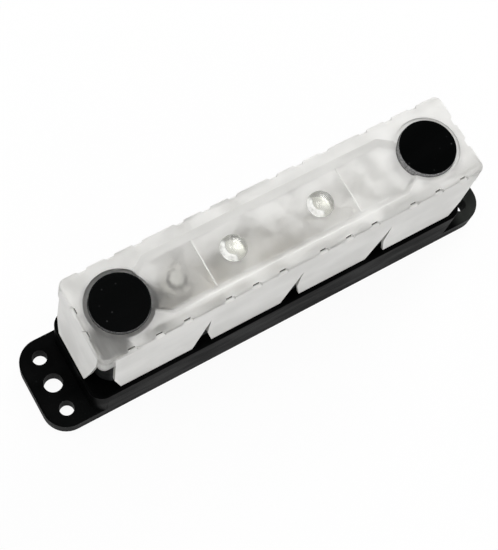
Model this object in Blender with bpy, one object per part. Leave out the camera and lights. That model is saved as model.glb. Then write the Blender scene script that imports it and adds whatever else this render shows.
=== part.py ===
"""Covered four-stud bus bar: black moulded base, tinned bar, studs and a frosted snap-over cover.

Metres, +Z up.  X runs along the bar, the front is -Y and the origin is the middle of the underside.
"""
import math

import bmesh
import bpy
from mathutils import Vector

MM = 0.001

# Clearances
GAP = 0.3 * MM            # air left between two pieces that touch on the real object
TURN_FIT = 0.06 * MM      # radial play of a nut on its stud
SEAT_FIT = 0.2 * MM       # radial play of a washer, the bar or the base round a stud
CUT = 1.0 * MM            # how far a cutter reaches past the face it opens
OVERLAP = 1.0 * MM        # how far two joined blocks reach into each other
WELD = 0.002 * MM         # points nearer than this are one

# Flat faces of a full turn, and how far in a broken edge's middle line lies
ARC_MIDDLE = 0.3
ROUND_STEPS = 42
CORE_STEPS = 32
WASHER_STEPS = 28
SMALL_STEPS = 24

# Studs, bar and hardware
STUD_INNER_X = 16.2 * MM
STUD_STEP = 20.4 * MM
STUD_RADIUS = 3.0 * MM
STUD_PROUD = 2.2 * MM     # stud above its nut
STUD_TIP = 0.6 * MM
HEAD_FLATS = 10.0 * MM
HEAD_HEIGHT = 4.0 * MM
HEAD_PLAY = 0.3 * MM
BAR_END = 7.9 * MM        # bar past its last stud
BAR_HALF_Y = 9.5 * MM
BAR_THICK = 3.0 * MM
BAR_RADIUS = 2.0 * MM
BAR_EDGE = 0.35 * MM
WASHER_RADIUS = 6.25 * MM
WASHER_THICK = 1.6 * MM
SPRING_RADIUS = 5.6 * MM
SPRING_THICK = 1.6 * MM
SPRING_SPLIT = 0.9 * MM
SPLIT_SLOPE = 0.6         # sideways for each unit up
NUT_FLATS = 10.0 * MM
NUT_HEIGHT = 5.0 * MM
NUT_CHAMFER = 0.55 * MM
NUT_CORNER_SLOPE = 0.6    # height of a corner's chamfer for each unit across
NUT_CORNER_PLAY = 0.1 * MM
NUT_FLAT_PLAY = 0.02 * MM

# Round end posts of the base
POST_RADIUS = 10.9 * MM
POST_BAR_AIR = 1.6 * MM   # between the bar's end and a post
POST_PROUD = 1.4 * MM     # post above the cover's top
POST_SHOULDER = 1.15 * MM # step between a post and its cap
POST_EDGE = 0.4 * MM
POST_WALL = 2.6 * MM
POST_END_FACE = 1.1 * MM  # plinth past the post

# Base: flange, platform and plinth
FLANGE_HEIGHT = 7.6 * MM
FLANGE_RADIUS = 8.7 * MM
PLATFORM_TOP = 23.8 * MM
PLATFORM_RADIUS = 5.0 * MM
LEDGE_X = 4.6 * MM        # ledge round the plinth, at its ends and sides
LEDGE_Y = 3.8 * MM
PLINTH_HEIGHT = 20.2 * MM
PLINTH_HALF_Y = 12.9 * MM
PLINTH_RADIUS = 6.5 * MM
BASE_EDGE = 0.7 * MM
CORE_RADIUS_LESS = 2.0 * MM
BASE_WALL = 3.0 * MM
STUD_ROOF = 8.3 * MM      # thickness of the plinth's roof, where the stud heads sit

# Mounting holes of each flange
HOLE_INSET = 7.3 * MM     # from the platform's end
HOLE_MARGIN = 7.8 * MM    # to the flange's end
HOLE_PITCH = 10.0 * MM
SIDE_HOLE_RADIUS = 2.6 * MM
MID_HOLE_RADIUS = 3.35 * MM

# Cover shell
COVER_WALL = 1.2 * MM
COVER_SIDE_AIR = 1.05 * MM # between a wall and the plinth, at the sides and ends
COVER_END_AIR = 0.8 * MM
COVER_END_LEAN = 2.1 * MM
COVER_SIDE_LEAN = 0.15 * MM
COVER_RADIUS = 2.7 * MM
COVER_EDGE = 0.7 * MM
STUD_HEADROOM = 1.0 * MM  # between a stud's tip and the recess

# Cover collars over the posts
COLLAR_LIFT = 3.0 * MM    # collar's foot above the plinth
COLLAR_WALL = 1.1 * MM

# Cover recess
RECESS_DEPTH = 2.2 * MM
RECESS_HALF_Y = 8.6 * MM  # at its floor
RECESS_END_AIR = 1.0 * MM # between the bend and the bar's end below it
RECESS_NECK_LENGTH = 6.7 * MM
RECESS_NECK_Y = 4.2 * MM
RECESS_SIDE_SLOPE = 0.98  # sideways for each unit up

# Nameplate field and the two clear domes
PLATE_HALF_X = 27.0 * MM
PLATE_LINE = 0.55 * MM
PLATE_RISE = 0.35 * MM
DOME_RADIUS = 4.55 * MM
DOME_HEIGHT = 3.3 * MM
DOME_WALL = 1.1 * MM

# Flaps, counted from each wall's left corner as seen from outside
FLAPS = 4
CORNER_FLAT = 4.9 * MM
NOTCH_DROP = 13.0 * MM    # notch tips below the cover's top
CORNER_DROP = 8.5 * MM    # corner openings below the cover's top
KINK_RISE = 11.9 * MM     # kink above the flap's foot
KINK_SHIFT = 2.6 * MM
SLANT_SHIFT = 4.8 * MM
LAST_SLANT = 3.4 * MM     # foot of the last flap, in from the corner
END_SLANT_LOW = 7.75 * MM
END_SLANT_MID = 5.25 * MM
END_SLANT_RISE = 13.4 * MM
END_START = 2.75 * MM
END_KINK = 4.75 * MM
SLOT_CENTRE = 15.4 * MM
SLOT_PITCH = 9.75 * MM
SLOT_LENGTH = 2.3 * MM
SLOT_DEPTH = 1.1 * MM
SLOT_FALL = 3.4 * MM      # foot of the slot's slope, below the cover's top
SLOT_BLADE = 0.65 * MM
END_SLOT_Y = 4.3 * MM

# Seats that follow from the sizes above
STUD_X = (-STUD_INNER_X - STUD_STEP, -STUD_INNER_X, STUD_INNER_X, STUD_INNER_X + STUD_STEP)
BAR_HALF_X = STUD_INNER_X + STUD_STEP + BAR_END
POST_X = BAR_HALF_X + POST_BAR_AIR + POST_RADIUS
PLINTH_HALF_X = POST_X + POST_RADIUS + POST_END_FACE
PLINTH_TOP = PLATFORM_TOP + PLINTH_HEIGHT
PLATFORM_HALF_X = PLINTH_HALF_X + LEDGE_X
BASE_HALF_Y = PLINTH_HALF_Y + LEDGE_Y
HOLE_X = PLATFORM_HALF_X + HOLE_INSET
FLANGE_HALF_X = HOLE_X + HOLE_MARGIN
BAR_BOTTOM = PLINTH_TOP + GAP
BAR_TOP = BAR_BOTTOM + BAR_THICK
WASHER_BOTTOM = BAR_TOP + GAP
SPRING_BOTTOM = WASHER_BOTTOM + WASHER_THICK + GAP
NUT_BOTTOM = SPRING_BOTTOM + SPRING_THICK + GAP
STUD_TOP = NUT_BOTTOM + NUT_HEIGHT + STUD_PROUD
HEAD_TOP = PLINTH_TOP - STUD_ROOF + HEAD_HEIGHT + GAP
COVER_BOTTOM = PLATFORM_TOP + GAP
COVER_TOP = STUD_TOP + STUD_HEADROOM + COVER_WALL + RECESS_DEPTH
POST_TOP = COVER_TOP + POST_PROUD
COVER_TOP_HALF_X = PLINTH_HALF_X + COVER_WALL + COVER_END_AIR
COVER_TOP_HALF_Y = PLINTH_HALF_Y + COVER_WALL + COVER_SIDE_AIR
COVER_LOW_HALF_X = COVER_TOP_HALF_X + COVER_END_LEAN
COVER_LOW_HALF_Y = COVER_TOP_HALF_Y + COVER_SIDE_LEAN
COLLAR_BOTTOM = PLINTH_TOP + COLLAR_LIFT
RECESS_BEND_X = BAR_HALF_X - RECESS_END_AIR
RECESS_NECK_X = RECESS_BEND_X + RECESS_NECK_LENGTH
RECESS_FLOOR = COVER_TOP - RECESS_DEPTH
CAP_RADIUS = POST_RADIUS - POST_SHOULDER
SHOULDER_Z = RECESS_FLOOR - COVER_WALL - GAP
FLAP_START_X = COVER_TOP_HALF_X - CORNER_FLAT
FLAP_PITCH = (FLAP_START_X + COVER_TOP_HALF_X + COVER_EDGE) / FLAPS
KINK_Z = COVER_BOTTOM + KINK_RISE
NOTCH_TOP = COVER_TOP - NOTCH_DROP
CORNER_TOP = COVER_TOP - CORNER_DROP


def clear_scene():
    """Empty the file the script runs in."""
    for item in list(bpy.data.objects):
        bpy.data.objects.remove(item, do_unlink=True)


def material(name, colour, roughness, metallic=0.0, transmission=0.0):
    """Make one Principled material."""
    mat = bpy.data.materials.new(name)
    mat.use_nodes = True
    shader = mat.node_tree.nodes["Principled BSDF"]
    shader.inputs["Base Color"].default_value = (*colour, 1.0)
    shader.inputs["Roughness"].default_value = roughness
    shader.inputs["Metallic"].default_value = metallic
    shader.inputs["Transmission Weight"].default_value = transmission
    mat.diffuse_color = (*colour, 1.0)
    return mat


def rounded_outline(half_x, half_y, radius, steps=6):
    """Corner-rounded rectangle, counter-clockwise from above."""
    points = []
    for corner, (sx, sy) in enumerate(((1, 1), (-1, 1), (-1, -1), (1, -1))):
        centre = (sx * (half_x - radius), sy * (half_y - radius))
        for step in range(steps + 1):
            angle = math.pi / 2 * (corner + step / steps)
            points.append((centre[0] + radius * math.cos(angle),
                           centre[1] + radius * math.sin(angle)))
    return points


def circle(radius, steps, centre=(0.0, 0.0), phase=0.0):
    """Points round a circle, counter-clockwise from above."""
    turn = 2 * math.pi / steps
    return [(centre[0] + radius * math.cos(phase + turn * k),
             centre[1] + radius * math.sin(phase + turn * k))
            for k in range(steps)]


def hexagon(flats, centre=(0.0, 0.0), inset=0.0):
    """Hexagon with two flats facing +Y and -Y."""
    return circle(flats / math.sqrt(3) - inset, 6, centre)


def link(name, mesh):
    """Put a mesh into the scene as one object."""
    obj = bpy.data.objects.new(name, mesh)
    bpy.context.scene.collection.objects.link(obj)
    return obj


def solid(name, rings):
    """Closed body through rings of (z, outline); every outline has as many points."""
    bm = bmesh.new()
    loops = [[bm.verts.new((x, y, z)) for x, y in outline] for z, outline in rings]
    count = len(loops[0])
    for lower, upper in zip(loops, loops[1:]):
        for k in range(count):
            nxt = (k + 1) % count
            bm.faces.new((lower[k], lower[nxt], upper[nxt], upper[k]))
    bm.faces.new(list(reversed(loops[0])))
    bm.faces.new(loops[-1])
    bmesh.ops.recalc_face_normals(bm, faces=bm.faces)
    mesh = bpy.data.meshes.new(name)
    bm.to_mesh(mesh)
    bm.free()
    return link(name, mesh)


def prism(name, outline, low, high):
    """Straight body over one outline."""
    return solid(name, [(low, outline), (high, outline)])


def wall_prism(name, outline, near, far, along_x=False):
    """Body over an outline drawn in a wall, (across, z), pushed through the wall from near to far."""
    bm = bmesh.new()
    sides = []
    for depth in (near, far):
        sides.append([bm.verts.new((depth, a, z) if along_x else (a, depth, z)) for a, z in outline])
    count = len(outline)
    for k in range(count):
        nxt = (k + 1) % count
        bm.faces.new((sides[0][k], sides[0][nxt], sides[1][nxt], sides[1][k]))
    bm.faces.new(list(reversed(sides[0])))
    bm.faces.new(sides[1])
    bmesh.ops.recalc_face_normals(bm, faces=bm.faces)
    mesh = bpy.data.meshes.new(name)
    bm.to_mesh(mesh)
    bm.free()
    return link(name, mesh)


def box(name, low, high):
    """Axis-aligned block between two corners."""
    outline = [(low[0], low[1]), (high[0], low[1]), (high[0], high[1]), (low[0], high[1])]
    return prism(name, outline, low[2], high[2])


def combine(target, tools, operation):
    """Join tools to the target, or cut them out of it, in one step, and drop them."""
    group = bpy.data.collections.new("tools")
    bpy.context.scene.collection.children.link(group)
    for tool in tools:
        group.objects.link(tool)
    modifier = target.modifiers.new("combine", "BOOLEAN")
    modifier.operation = operation
    modifier.solver = "EXACT"
    modifier.operand_type = "COLLECTION"
    modifier.collection = group
    graph = bpy.context.evaluated_depsgraph_get()
    mesh = bpy.data.meshes.new_from_object(target.evaluated_get(graph))
    target.modifiers.remove(modifier)
    target.data = mesh
    for tool in tools:
        bpy.data.objects.remove(tool, do_unlink=True)
    bpy.data.collections.remove(group)
    return target


def cut(target, tools):
    """Cut the tools out of the target."""
    return combine(target, tools, "DIFFERENCE")


def join(target, tools):
    """Add the tools to the target."""
    return combine(target, tools, "UNION")


def finish(obj, mat, angle=32.0):
    """Clean a finished piece, smooth its round faces and give it its material."""
    bm = bmesh.new()
    bm.from_mesh(obj.data)
    bmesh.ops.remove_doubles(bm, verts=bm.verts, dist=WELD)
    bmesh.ops.dissolve_degenerate(bm, edges=bm.edges, dist=WELD / 2)
    bm.to_mesh(obj.data)
    bm.free()
    obj.data.name = obj.name
    obj.data.materials.clear()
    obj.data.materials.append(mat)
    obj.data.shade_smooth()
    obj.data.set_sharp_from_angle(angle=math.radians(angle))
    return obj


def set_origin(obj, point):
    """Move an object's origin without moving its faces."""
    offset = Vector(point)
    for vertex in obj.data.vertices:
        vertex.co -= offset
    obj.location = offset
    return obj


def edged_block(name, half_x, half_y, radius, low, high):
    """Rounded block whose top edge is broken by BASE_EDGE."""
    full = rounded_outline(half_x, half_y, radius)
    part = BASE_EDGE * ARC_MIDDLE
    mid = rounded_outline(half_x - part, half_y - part, radius - part)
    top = rounded_outline(half_x - BASE_EDGE, half_y - BASE_EDGE, radius - BASE_EDGE)
    return solid(name, [(low, full), (high - BASE_EDGE, full), (high - part, mid), (high, top)])


def build_base(mat):
    """One moulding: flanges, platform, plinth and the two round end posts, cored from below."""
    base = edged_block("base", FLANGE_HALF_X, BASE_HALF_Y, FLANGE_RADIUS, 0.0, FLANGE_HEIGHT)
    platform = edged_block("platform", PLATFORM_HALF_X, BASE_HALF_Y, PLATFORM_RADIUS,
                           FLANGE_HEIGHT - OVERLAP, PLATFORM_TOP)
    plinth = edged_block("plinth", PLINTH_HALF_X, PLINTH_HALF_Y, PLINTH_RADIUS,
                         PLATFORM_TOP - OVERLAP, PLINTH_TOP)
    posts = []
    for side in (-1, 1):
        centre = (side * POST_X, 0.0)
        rings = [(PLINTH_TOP - OVERLAP, circle(POST_RADIUS, ROUND_STEPS, centre)),
                 (SHOULDER_Z, circle(POST_RADIUS, ROUND_STEPS, centre)),
                 (SHOULDER_Z, circle(CAP_RADIUS, ROUND_STEPS, centre)),
                 (POST_TOP - POST_EDGE, circle(CAP_RADIUS, ROUND_STEPS, centre)),
                 (POST_TOP, circle(CAP_RADIUS - POST_EDGE, ROUND_STEPS, centre))]
        posts.append(solid("post", rings))
    join(base, [platform, plinth] + posts)

    wall = BASE_WALL
    low = rounded_outline(PLATFORM_HALF_X - wall, BASE_HALF_Y - wall, PLATFORM_RADIUS - CORE_RADIUS_LESS, 3)
    high = rounded_outline(PLINTH_HALF_X - wall, PLINTH_HALF_Y - wall, PLINTH_RADIUS - CORE_RADIUS_LESS, 3)
    tools = [prism("core_low", low, -CUT, PLATFORM_TOP - wall),
             prism("core_high", high, -CUT, PLINTH_TOP - STUD_ROOF)]
    for side in (-1, 1):
        core = circle(POST_RADIUS - POST_WALL, CORE_STEPS, (side * POST_X, 0.0))
        tools.append(prism("core_post", core, -CUT, POST_TOP - POST_WALL))
        for row, radius in ((-1, SIDE_HOLE_RADIUS), (0, MID_HOLE_RADIUS), (1, SIDE_HOLE_RADIUS)):
            hole = circle(radius, SMALL_STEPS, (side * HOLE_X, row * HOLE_PITCH))
            tools.append(prism("hole", hole, -CUT, FLANGE_HEIGHT + CUT))
    for x in STUD_X:
        pocket = hexagon(HEAD_FLATS + 2 * HEAD_PLAY, (x, 0.0))
        tools.append(prism("pocket", pocket, PLINTH_TOP - STUD_ROOF - CUT, HEAD_TOP + GAP))
        tools.append(prism("stud_hole", circle(STUD_RADIUS + SEAT_FIT, SMALL_STEPS, (x, 0.0)),
                           HEAD_TOP, PLINTH_TOP + CUT))
    cut(base, tools)
    return finish(base, mat)


def build_bar(mat):
    """Flat tinned bar with a clearance hole for each stud."""
    full = rounded_outline(BAR_HALF_X, BAR_HALF_Y, BAR_RADIUS, 4)
    inner = rounded_outline(BAR_HALF_X - BAR_EDGE, BAR_HALF_Y - BAR_EDGE, BAR_RADIUS - BAR_EDGE, 4)
    bar = solid("bus_bar", [(BAR_BOTTOM, inner), (BAR_BOTTOM + BAR_EDGE, full),
                            (BAR_TOP - BAR_EDGE, full), (BAR_TOP, inner)])
    hole = STUD_RADIUS + SEAT_FIT
    tools = [prism("hole", circle(hole, SMALL_STEPS, (x, 0.0)), BAR_BOTTOM - CUT, BAR_TOP + CUT)
             for x in STUD_X]
    cut(bar, tools)
    return finish(bar, mat)


def build_stud(mat):
    """Hexagon-headed stud on the Z axis, head captive in the plinth's roof."""
    stud = prism("stud_1", hexagon(HEAD_FLATS), 0.0, HEAD_HEIGHT)
    length = STUD_TOP - HEAD_TOP + HEAD_HEIGHT
    shank = solid("shank", [(HEAD_HEIGHT / 2, circle(STUD_RADIUS, SMALL_STEPS)),
                            (length - STUD_TIP, circle(STUD_RADIUS, SMALL_STEPS)),
                            (length, circle(STUD_RADIUS - STUD_TIP, SMALL_STEPS))])
    join(stud, [shank])
    return finish(stud, mat)


def build_washer(mat):
    """Plain flat washer on the Z axis."""
    washer = prism("flat_washer_1", circle(WASHER_RADIUS, WASHER_STEPS), 0.0, WASHER_THICK)
    hole = prism("hole", circle(STUD_RADIUS + SEAT_FIT, SMALL_STEPS), -CUT, WASHER_THICK + CUT)
    cut(washer, [hole])
    return finish(washer, mat)


def build_spring_washer(mat):
    """Split spring washer on the Z axis, flattened as it is under a tight nut."""
    washer = prism("spring_washer_1", circle(SPRING_RADIUS, WASHER_STEPS), 0.0, SPRING_THICK)
    hole = prism("hole", circle(STUD_RADIUS + SEAT_FIT, SMALL_STEPS), -CUT, SPRING_THICK + CUT)
    half = SPRING_SPLIT / 2
    lean = SPRING_THICK * SPLIT_SLOPE
    outline = [(-half - lean, -CUT), (half - lean, -CUT), (half + lean, SPRING_THICK + CUT),
               (-half + lean, SPRING_THICK + CUT)]
    split = wall_prism("split", outline, -SPRING_RADIUS - CUT, -STUD_RADIUS / 2)
    cut(washer, [hole, split])
    return finish(washer, mat)


def build_nut(mat):
    """Hexagon nut on the Z axis with its corners chamfered at both faces."""
    nut = prism("nut_1", hexagon(NUT_FLATS), 0.0, NUT_HEIGHT)
    corner = NUT_FLATS / math.sqrt(3) + NUT_CORNER_PLAY
    flat = NUT_FLATS / 2 + NUT_FLAT_PLAY
    rise = (corner - flat) * NUT_CORNER_SLOPE
    turn = math.pi / SMALL_STEPS
    envelope = solid("envelope", [(-CUT, circle(flat, SMALL_STEPS, phase=turn)),
                                  (0.0, circle(flat, SMALL_STEPS, phase=turn)),
                                  (rise, circle(corner, SMALL_STEPS, phase=turn)),
                                  (NUT_HEIGHT - rise, circle(corner, SMALL_STEPS, phase=turn)),
                                  (NUT_HEIGHT, circle(flat, SMALL_STEPS, phase=turn)),
                                  (NUT_HEIGHT + CUT, circle(flat, SMALL_STEPS, phase=turn))])
    combine(nut, [envelope], "INTERSECT")
    bore = STUD_RADIUS + TURN_FIT
    mouth = bore + NUT_CHAMFER
    hole = solid("bore", [(-CUT, circle(mouth, SMALL_STEPS)),
                          (0.0, circle(mouth, SMALL_STEPS)),
                          (NUT_CHAMFER, circle(bore, SMALL_STEPS)),
                          (NUT_HEIGHT - NUT_CHAMFER, circle(bore, SMALL_STEPS)),
                          (NUT_HEIGHT, circle(mouth, SMALL_STEPS)),
                          (NUT_HEIGHT + CUT, circle(mouth, SMALL_STEPS))])
    cut(nut, [hole])
    return finish(nut, mat)


def set_out(first, height):
    """Stand the first piece and its copies on the studs' centres, each with a material of its own."""
    stem = first.name[:-1]
    for number, x in enumerate(STUD_X, start=1):
        piece = first
        if number > 1:
            piece = link(f"{stem}{number}", first.data.copy())
            piece.data.name = piece.name
            piece.data.materials[0] = first.data.materials[0].copy()
        piece.location = (x, 0.0, height)


def cover_outline(inset, blend):
    """Outline of the cover's wall at a level: blend 0 is the bottom, 1 the top."""
    half_x = COVER_LOW_HALF_X + (COVER_TOP_HALF_X - COVER_LOW_HALF_X) * blend - inset
    half_y = COVER_LOW_HALF_Y + (COVER_TOP_HALF_Y - COVER_LOW_HALF_Y) * blend - inset
    return rounded_outline(half_x, half_y, COVER_RADIUS - min(inset, COVER_WALL), 4)


def recess_outline(grow):
    """Long recess between the collars, with its angled necks; grow widens it all round."""
    half_y = RECESS_HALF_Y + grow
    neck_y = RECESS_NECK_Y + grow
    bend = RECESS_BEND_X
    end = RECESS_NECK_X
    return [(end, -neck_y), (end, neck_y), (bend, half_y), (-bend, half_y),
            (-end, neck_y), (-end, -neck_y), (-bend, -half_y), (bend, -half_y)]


def recess_tool(name, floor, grow):
    """Cutter for the recess, its sides sloping outwards."""
    top = COVER_TOP + CUT
    spread = grow + RECESS_SIDE_SLOPE * (top - floor)
    return solid(name, [(floor, recess_outline(grow)), (top, recess_outline(spread))])


def notch_outlines():
    """V notches of the long wall seen from outside, as (along, z) from the wall's middle."""
    below = COVER_BOTTOM - CUT
    outlines = []
    for k in range(1, FLAPS):
        left = -FLAP_START_X + FLAP_PITCH * k
        outlines.append([(left - SLANT_SHIFT, below), (left + KINK_SHIFT, below),
                         (left + KINK_SHIFT, COVER_BOTTOM), (left, KINK_Z), (left, NOTCH_TOP),
                         (left - SLANT_SHIFT, COVER_BOTTOM)])
    return outlines


def corner_outlines():
    """Openings at the wall's two corners: the straight side of its first flap and the slant of its last."""
    below = COVER_BOTTOM - CUT
    outer = COVER_LOW_HALF_X + CUT
    kink = -FLAP_START_X + KINK_SHIFT
    first = [(-outer, below), (kink, below), (kink, COVER_BOTTOM), (-FLAP_START_X, KINK_Z),
             (-FLAP_START_X, CORNER_TOP), (-outer, CORNER_TOP)]
    foot = COVER_TOP_HALF_X - LAST_SLANT
    last = [(foot, below), (outer, below), (outer, CORNER_TOP), (COVER_TOP_HALF_X, CORNER_TOP),
            (foot, COVER_BOTTOM)]
    return [first, last]


def end_outlines():
    """The same two openings as they cut the end wall, as (along, z)."""
    below = COVER_BOTTOM - CUT
    outer = COVER_LOW_HALF_Y + CUT
    start = COVER_TOP_HALF_Y - END_START
    kink = COVER_TOP_HALF_Y - END_KINK
    first = [(-outer, below), (-kink, below), (-kink, COVER_BOTTOM), (-start, KINK_Z), (-start, CORNER_TOP),
             (-outer, CORNER_TOP)]
    low = COVER_TOP_HALF_Y - END_SLANT_LOW
    mid = COVER_TOP_HALF_Y - END_SLANT_MID
    high = COVER_TOP_HALF_Y - COVER_RADIUS
    last = [(outer, below), (low, below), (low, COVER_BOTTOM), (mid, COVER_BOTTOM + END_SLANT_RISE),
            (high, CORNER_TOP), (outer, CORNER_TOP)]
    return [first, last]


def slot_profile(face, side):
    """Section of a perforation across the bend, as (across, z).

    A nick whose floor slopes down to the wall's face, with a blade on through the corner.
    """
    top = COVER_TOP
    half = SLOT_BLADE / math.sqrt(2)
    reach = COVER_WALL + SLOT_DEPTH
    inner = face - side * SLOT_DEPTH
    floor = top - SLOT_DEPTH
    far = face - side * reach
    outline = [(face + side * CUT, top - SLOT_FALL), (face + side * CUT, top + CUT), (inner, top + CUT),
               (inner, floor + half), (far, top - reach + half), (far + side * half, top - reach),
               (inner + side * half, floor)]
    return outline


def dome_rings(radius, height, base, centre, steps=6):
    """Half an ellipsoid standing on a short spigot that reaches below the panel."""
    rings = [(base - COVER_WALL / 2, circle(radius, SMALL_STEPS, centre))]
    for k in range(steps):
        angle = math.pi / 2 * k / steps
        level = base + height * math.sin(angle)
        rings.append((level, circle(radius * math.cos(angle), SMALL_STEPS, centre)))
    return rings


def build_cover(mat):
    """Frosted one-piece cover: shell, recess, collars, clear domes, flaps and perforations."""
    low = COVER_BOTTOM
    rise = COVER_TOP - low

    def at(z):
        return (z - low) / rise

    edge = COVER_EDGE
    cover = solid("cover", [(low, cover_outline(0.0, 0.0)),
                            (COVER_TOP - edge, cover_outline(0.0, at(COVER_TOP - edge))),
                            (COVER_TOP - ARC_MIDDLE * edge, cover_outline(ARC_MIDDLE * edge, 1.0)),
                            (COVER_TOP, cover_outline(edge, 1.0))])
    floor = RECESS_FLOOR
    cut(cover, [recess_tool("recess", floor, 0.0)])

    wall = COVER_WALL
    lines = []
    domes = []
    hollows = []
    for side in (-1, 1):
        x = side * PLATE_HALF_X
        lines.append(box("line", (x - PLATE_LINE / 2, -RECESS_HALF_Y, floor - wall / 2),
                         (x + PLATE_LINE / 2, RECESS_HALF_Y, floor + PLATE_RISE)))
        centre = (side * STUD_INNER_X, 0.0)
        domes.append(solid("dome", dome_rings(DOME_RADIUS, DOME_HEIGHT, floor, centre)))
        inner = dome_rings(DOME_RADIUS - DOME_WALL, DOME_HEIGHT - DOME_WALL, floor, centre)
        inner[0] = (floor - wall - CUT, inner[0][1])
        hollows.append(solid("hollow", inner))
    join(cover, lines + domes)

    ceiling = COVER_TOP - wall
    room = solid("room", [(low - CUT, cover_outline(wall, at(low - CUT))),
                          (ceiling, cover_outline(wall, at(ceiling)))])
    slant = wall * (math.hypot(1.0, RECESS_SIDE_SLOPE) - RECESS_SIDE_SLOPE)
    collars = []
    bores = []
    for side in (-1, 1):
        centre = (side * POST_X, 0.0)
        bore = POST_RADIUS + GAP
        collar = circle(bore + COLLAR_WALL, ROUND_STEPS, centre)
        collars.append(prism("collar", collar, COLLAR_BOTTOM, COVER_TOP))
        bores.append(prism("bore", circle(bore, ROUND_STEPS, centre), COLLAR_BOTTOM - CUT, floor - wall))
        bores.append(prism("sink", circle(bore, ROUND_STEPS, centre), floor, COVER_TOP + CUT))
        mouth = circle(CAP_RADIUS + SEAT_FIT, ROUND_STEPS, centre)
        bores.append(prism("mouth", mouth, floor - 2 * wall, COVER_TOP + CUT))
    cut(room, [recess_tool("recess_inside", floor - wall, slant)] + collars)
    join(room, hollows)
    cut(cover, [room])
    cut(cover, bores)

    tools = []
    for side in (-1, 1):
        # Side -1 is the front and the left end, and side 1 is their copy turned half round
        near_y = side * (COVER_TOP_HALF_Y - COVER_WALL - COVER_SIDE_AIR)
        far_y = side * (COVER_LOW_HALF_Y + CUT)
        near_x = side * (COVER_TOP_HALF_X - COVER_WALL - COVER_SIDE_AIR)
        far_x = side * (COVER_LOW_HALF_X + CUT)
        for outline in notch_outlines() + corner_outlines():
            tools.append(wall_prism("opening", [(-side * a, z) for a, z in outline], near_y, far_y))
        for outline in end_outlines():
            tools.append(wall_prism("opening", [(side * a, z) for a, z in outline], near_x, far_x, True))
        section = slot_profile(side * COVER_TOP_HALF_Y, side)
        for k in range(FLAPS):
            for row in (-1, 0, 1):
                x = side * (FLAP_START_X - FLAP_PITCH * k - SLOT_CENTRE - row * SLOT_PITCH)
                tools.append(wall_prism("slot", section, x - SLOT_LENGTH / 2, x + SLOT_LENGTH / 2, True))
        section = slot_profile(side * COVER_TOP_HALF_X, side)
        for row in (-1, 1):
            y = row * END_SLOT_Y
            tools.append(wall_prism("slot", section, y - SLOT_LENGTH / 2, y + SLOT_LENGTH / 2))
    cut(cover, tools)
    finish(cover, mat)
    return set_origin(cover, (0.0, 0.0, COVER_BOTTOM))


def main():
    """Build every piece."""
    clear_scene()
    black = material("black_moulding", (0.012, 0.013, 0.014), 0.42)
    build_base(black)
    build_bar(material("tinned_bar", (0.62, 0.60, 0.56), 0.35, 1.0))
    set_out(build_stud(material("stud_steel", (0.60, 0.60, 0.58), 0.30, 1.0)), HEAD_TOP - HEAD_HEIGHT)
    set_out(build_washer(material("washer_steel", (0.58, 0.58, 0.57), 0.34, 1.0)), WASHER_BOTTOM)
    set_out(build_spring_washer(material("spring_steel", (0.50, 0.50, 0.49), 0.38, 1.0)), SPRING_BOTTOM)
    set_out(build_nut(material("nut_steel", (0.62, 0.61, 0.58), 0.30, 1.0)), NUT_BOTTOM)
    build_cover(material("frosted_cover", (0.84, 0.83, 0.81), 0.55, 0.0, 0.35))


main()
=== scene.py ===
"""Dressed scene of a covered stud bus bar.

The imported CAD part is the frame.  Each sub-assembly is a class that holds its sizes in metres,
builds its meshes and dresses them.  X runs along the bar, the front is -Y and +Z is up.
"""

import logging
import math
from dataclasses import dataclass
from enum import Enum
from typing import Any, Optional, Sequence, Union

import bmesh
import bpy
from mathutils import Matrix, Vector


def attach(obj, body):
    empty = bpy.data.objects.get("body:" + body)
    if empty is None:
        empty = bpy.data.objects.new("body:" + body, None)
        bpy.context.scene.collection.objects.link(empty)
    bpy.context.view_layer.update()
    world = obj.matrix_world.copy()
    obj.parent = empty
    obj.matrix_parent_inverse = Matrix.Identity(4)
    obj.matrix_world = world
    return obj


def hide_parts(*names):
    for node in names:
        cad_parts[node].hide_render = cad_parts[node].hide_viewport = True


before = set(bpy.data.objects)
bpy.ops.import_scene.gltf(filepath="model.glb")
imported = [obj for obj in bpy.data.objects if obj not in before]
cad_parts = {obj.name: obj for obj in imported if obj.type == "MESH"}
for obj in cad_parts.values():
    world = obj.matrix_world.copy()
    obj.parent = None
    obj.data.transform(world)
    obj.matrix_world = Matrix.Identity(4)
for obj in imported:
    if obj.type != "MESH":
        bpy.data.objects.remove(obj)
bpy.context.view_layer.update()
LOG = logging.getLogger("bus_bar")

MM = 0.001
CUT = 1.0 * MM
GAP = 0.3 * MM
LARGE, MEDIUM, SMALL = 96, 64, 48

Socket = bpy.types.NodeSocket
Node = bpy.types.Node
Material = bpy.types.Material
Object = bpy.types.Object
Point = tuple[float, float]
Place = tuple[float, float, float]
Outline = list[Point]
Ring = tuple[float, Outline]
Colour = tuple[float, float, float]
Operand = Union["Signal", float]
Sockets = dict[Union[str, int], Any]

# A Span is where a change starts and ends, and a Ramp has its two outputs after that.  Waves are the
# waves per metre of a noise, its octaves and, where given, the strength of the finer octaves.
Span = tuple[float, float]
Ramp = tuple[float, float, float, float]
Waves = tuple[float, ...]

# Spans that hold most of a noise's values
MIDDLE: Span = (0.35, 0.65)
WIDE: Span = (0.3, 0.7)

WHITE: Colour = (1.0, 1.0, 1.0)


class Slot(Enum):
    """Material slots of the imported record."""

    MOULDING = "black_moulding"
    BAR = "tinned_bar"
    STUD = "stud_steel"
    WASHER = "washer_steel"
    SPRING = "spring_steel"
    NUT = "nut_steel"
    COVER = "frosted_cover"


class Body(Enum):
    """Rigid bodies of the frame."""

    BASE = "base_body"
    COVER = "cover_body"
    NUT_1 = "nut_1_body"
    NUT_2 = "nut_2_body"
    NUT_3 = "nut_3_body"
    NUT_4 = "nut_4_body"


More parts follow.
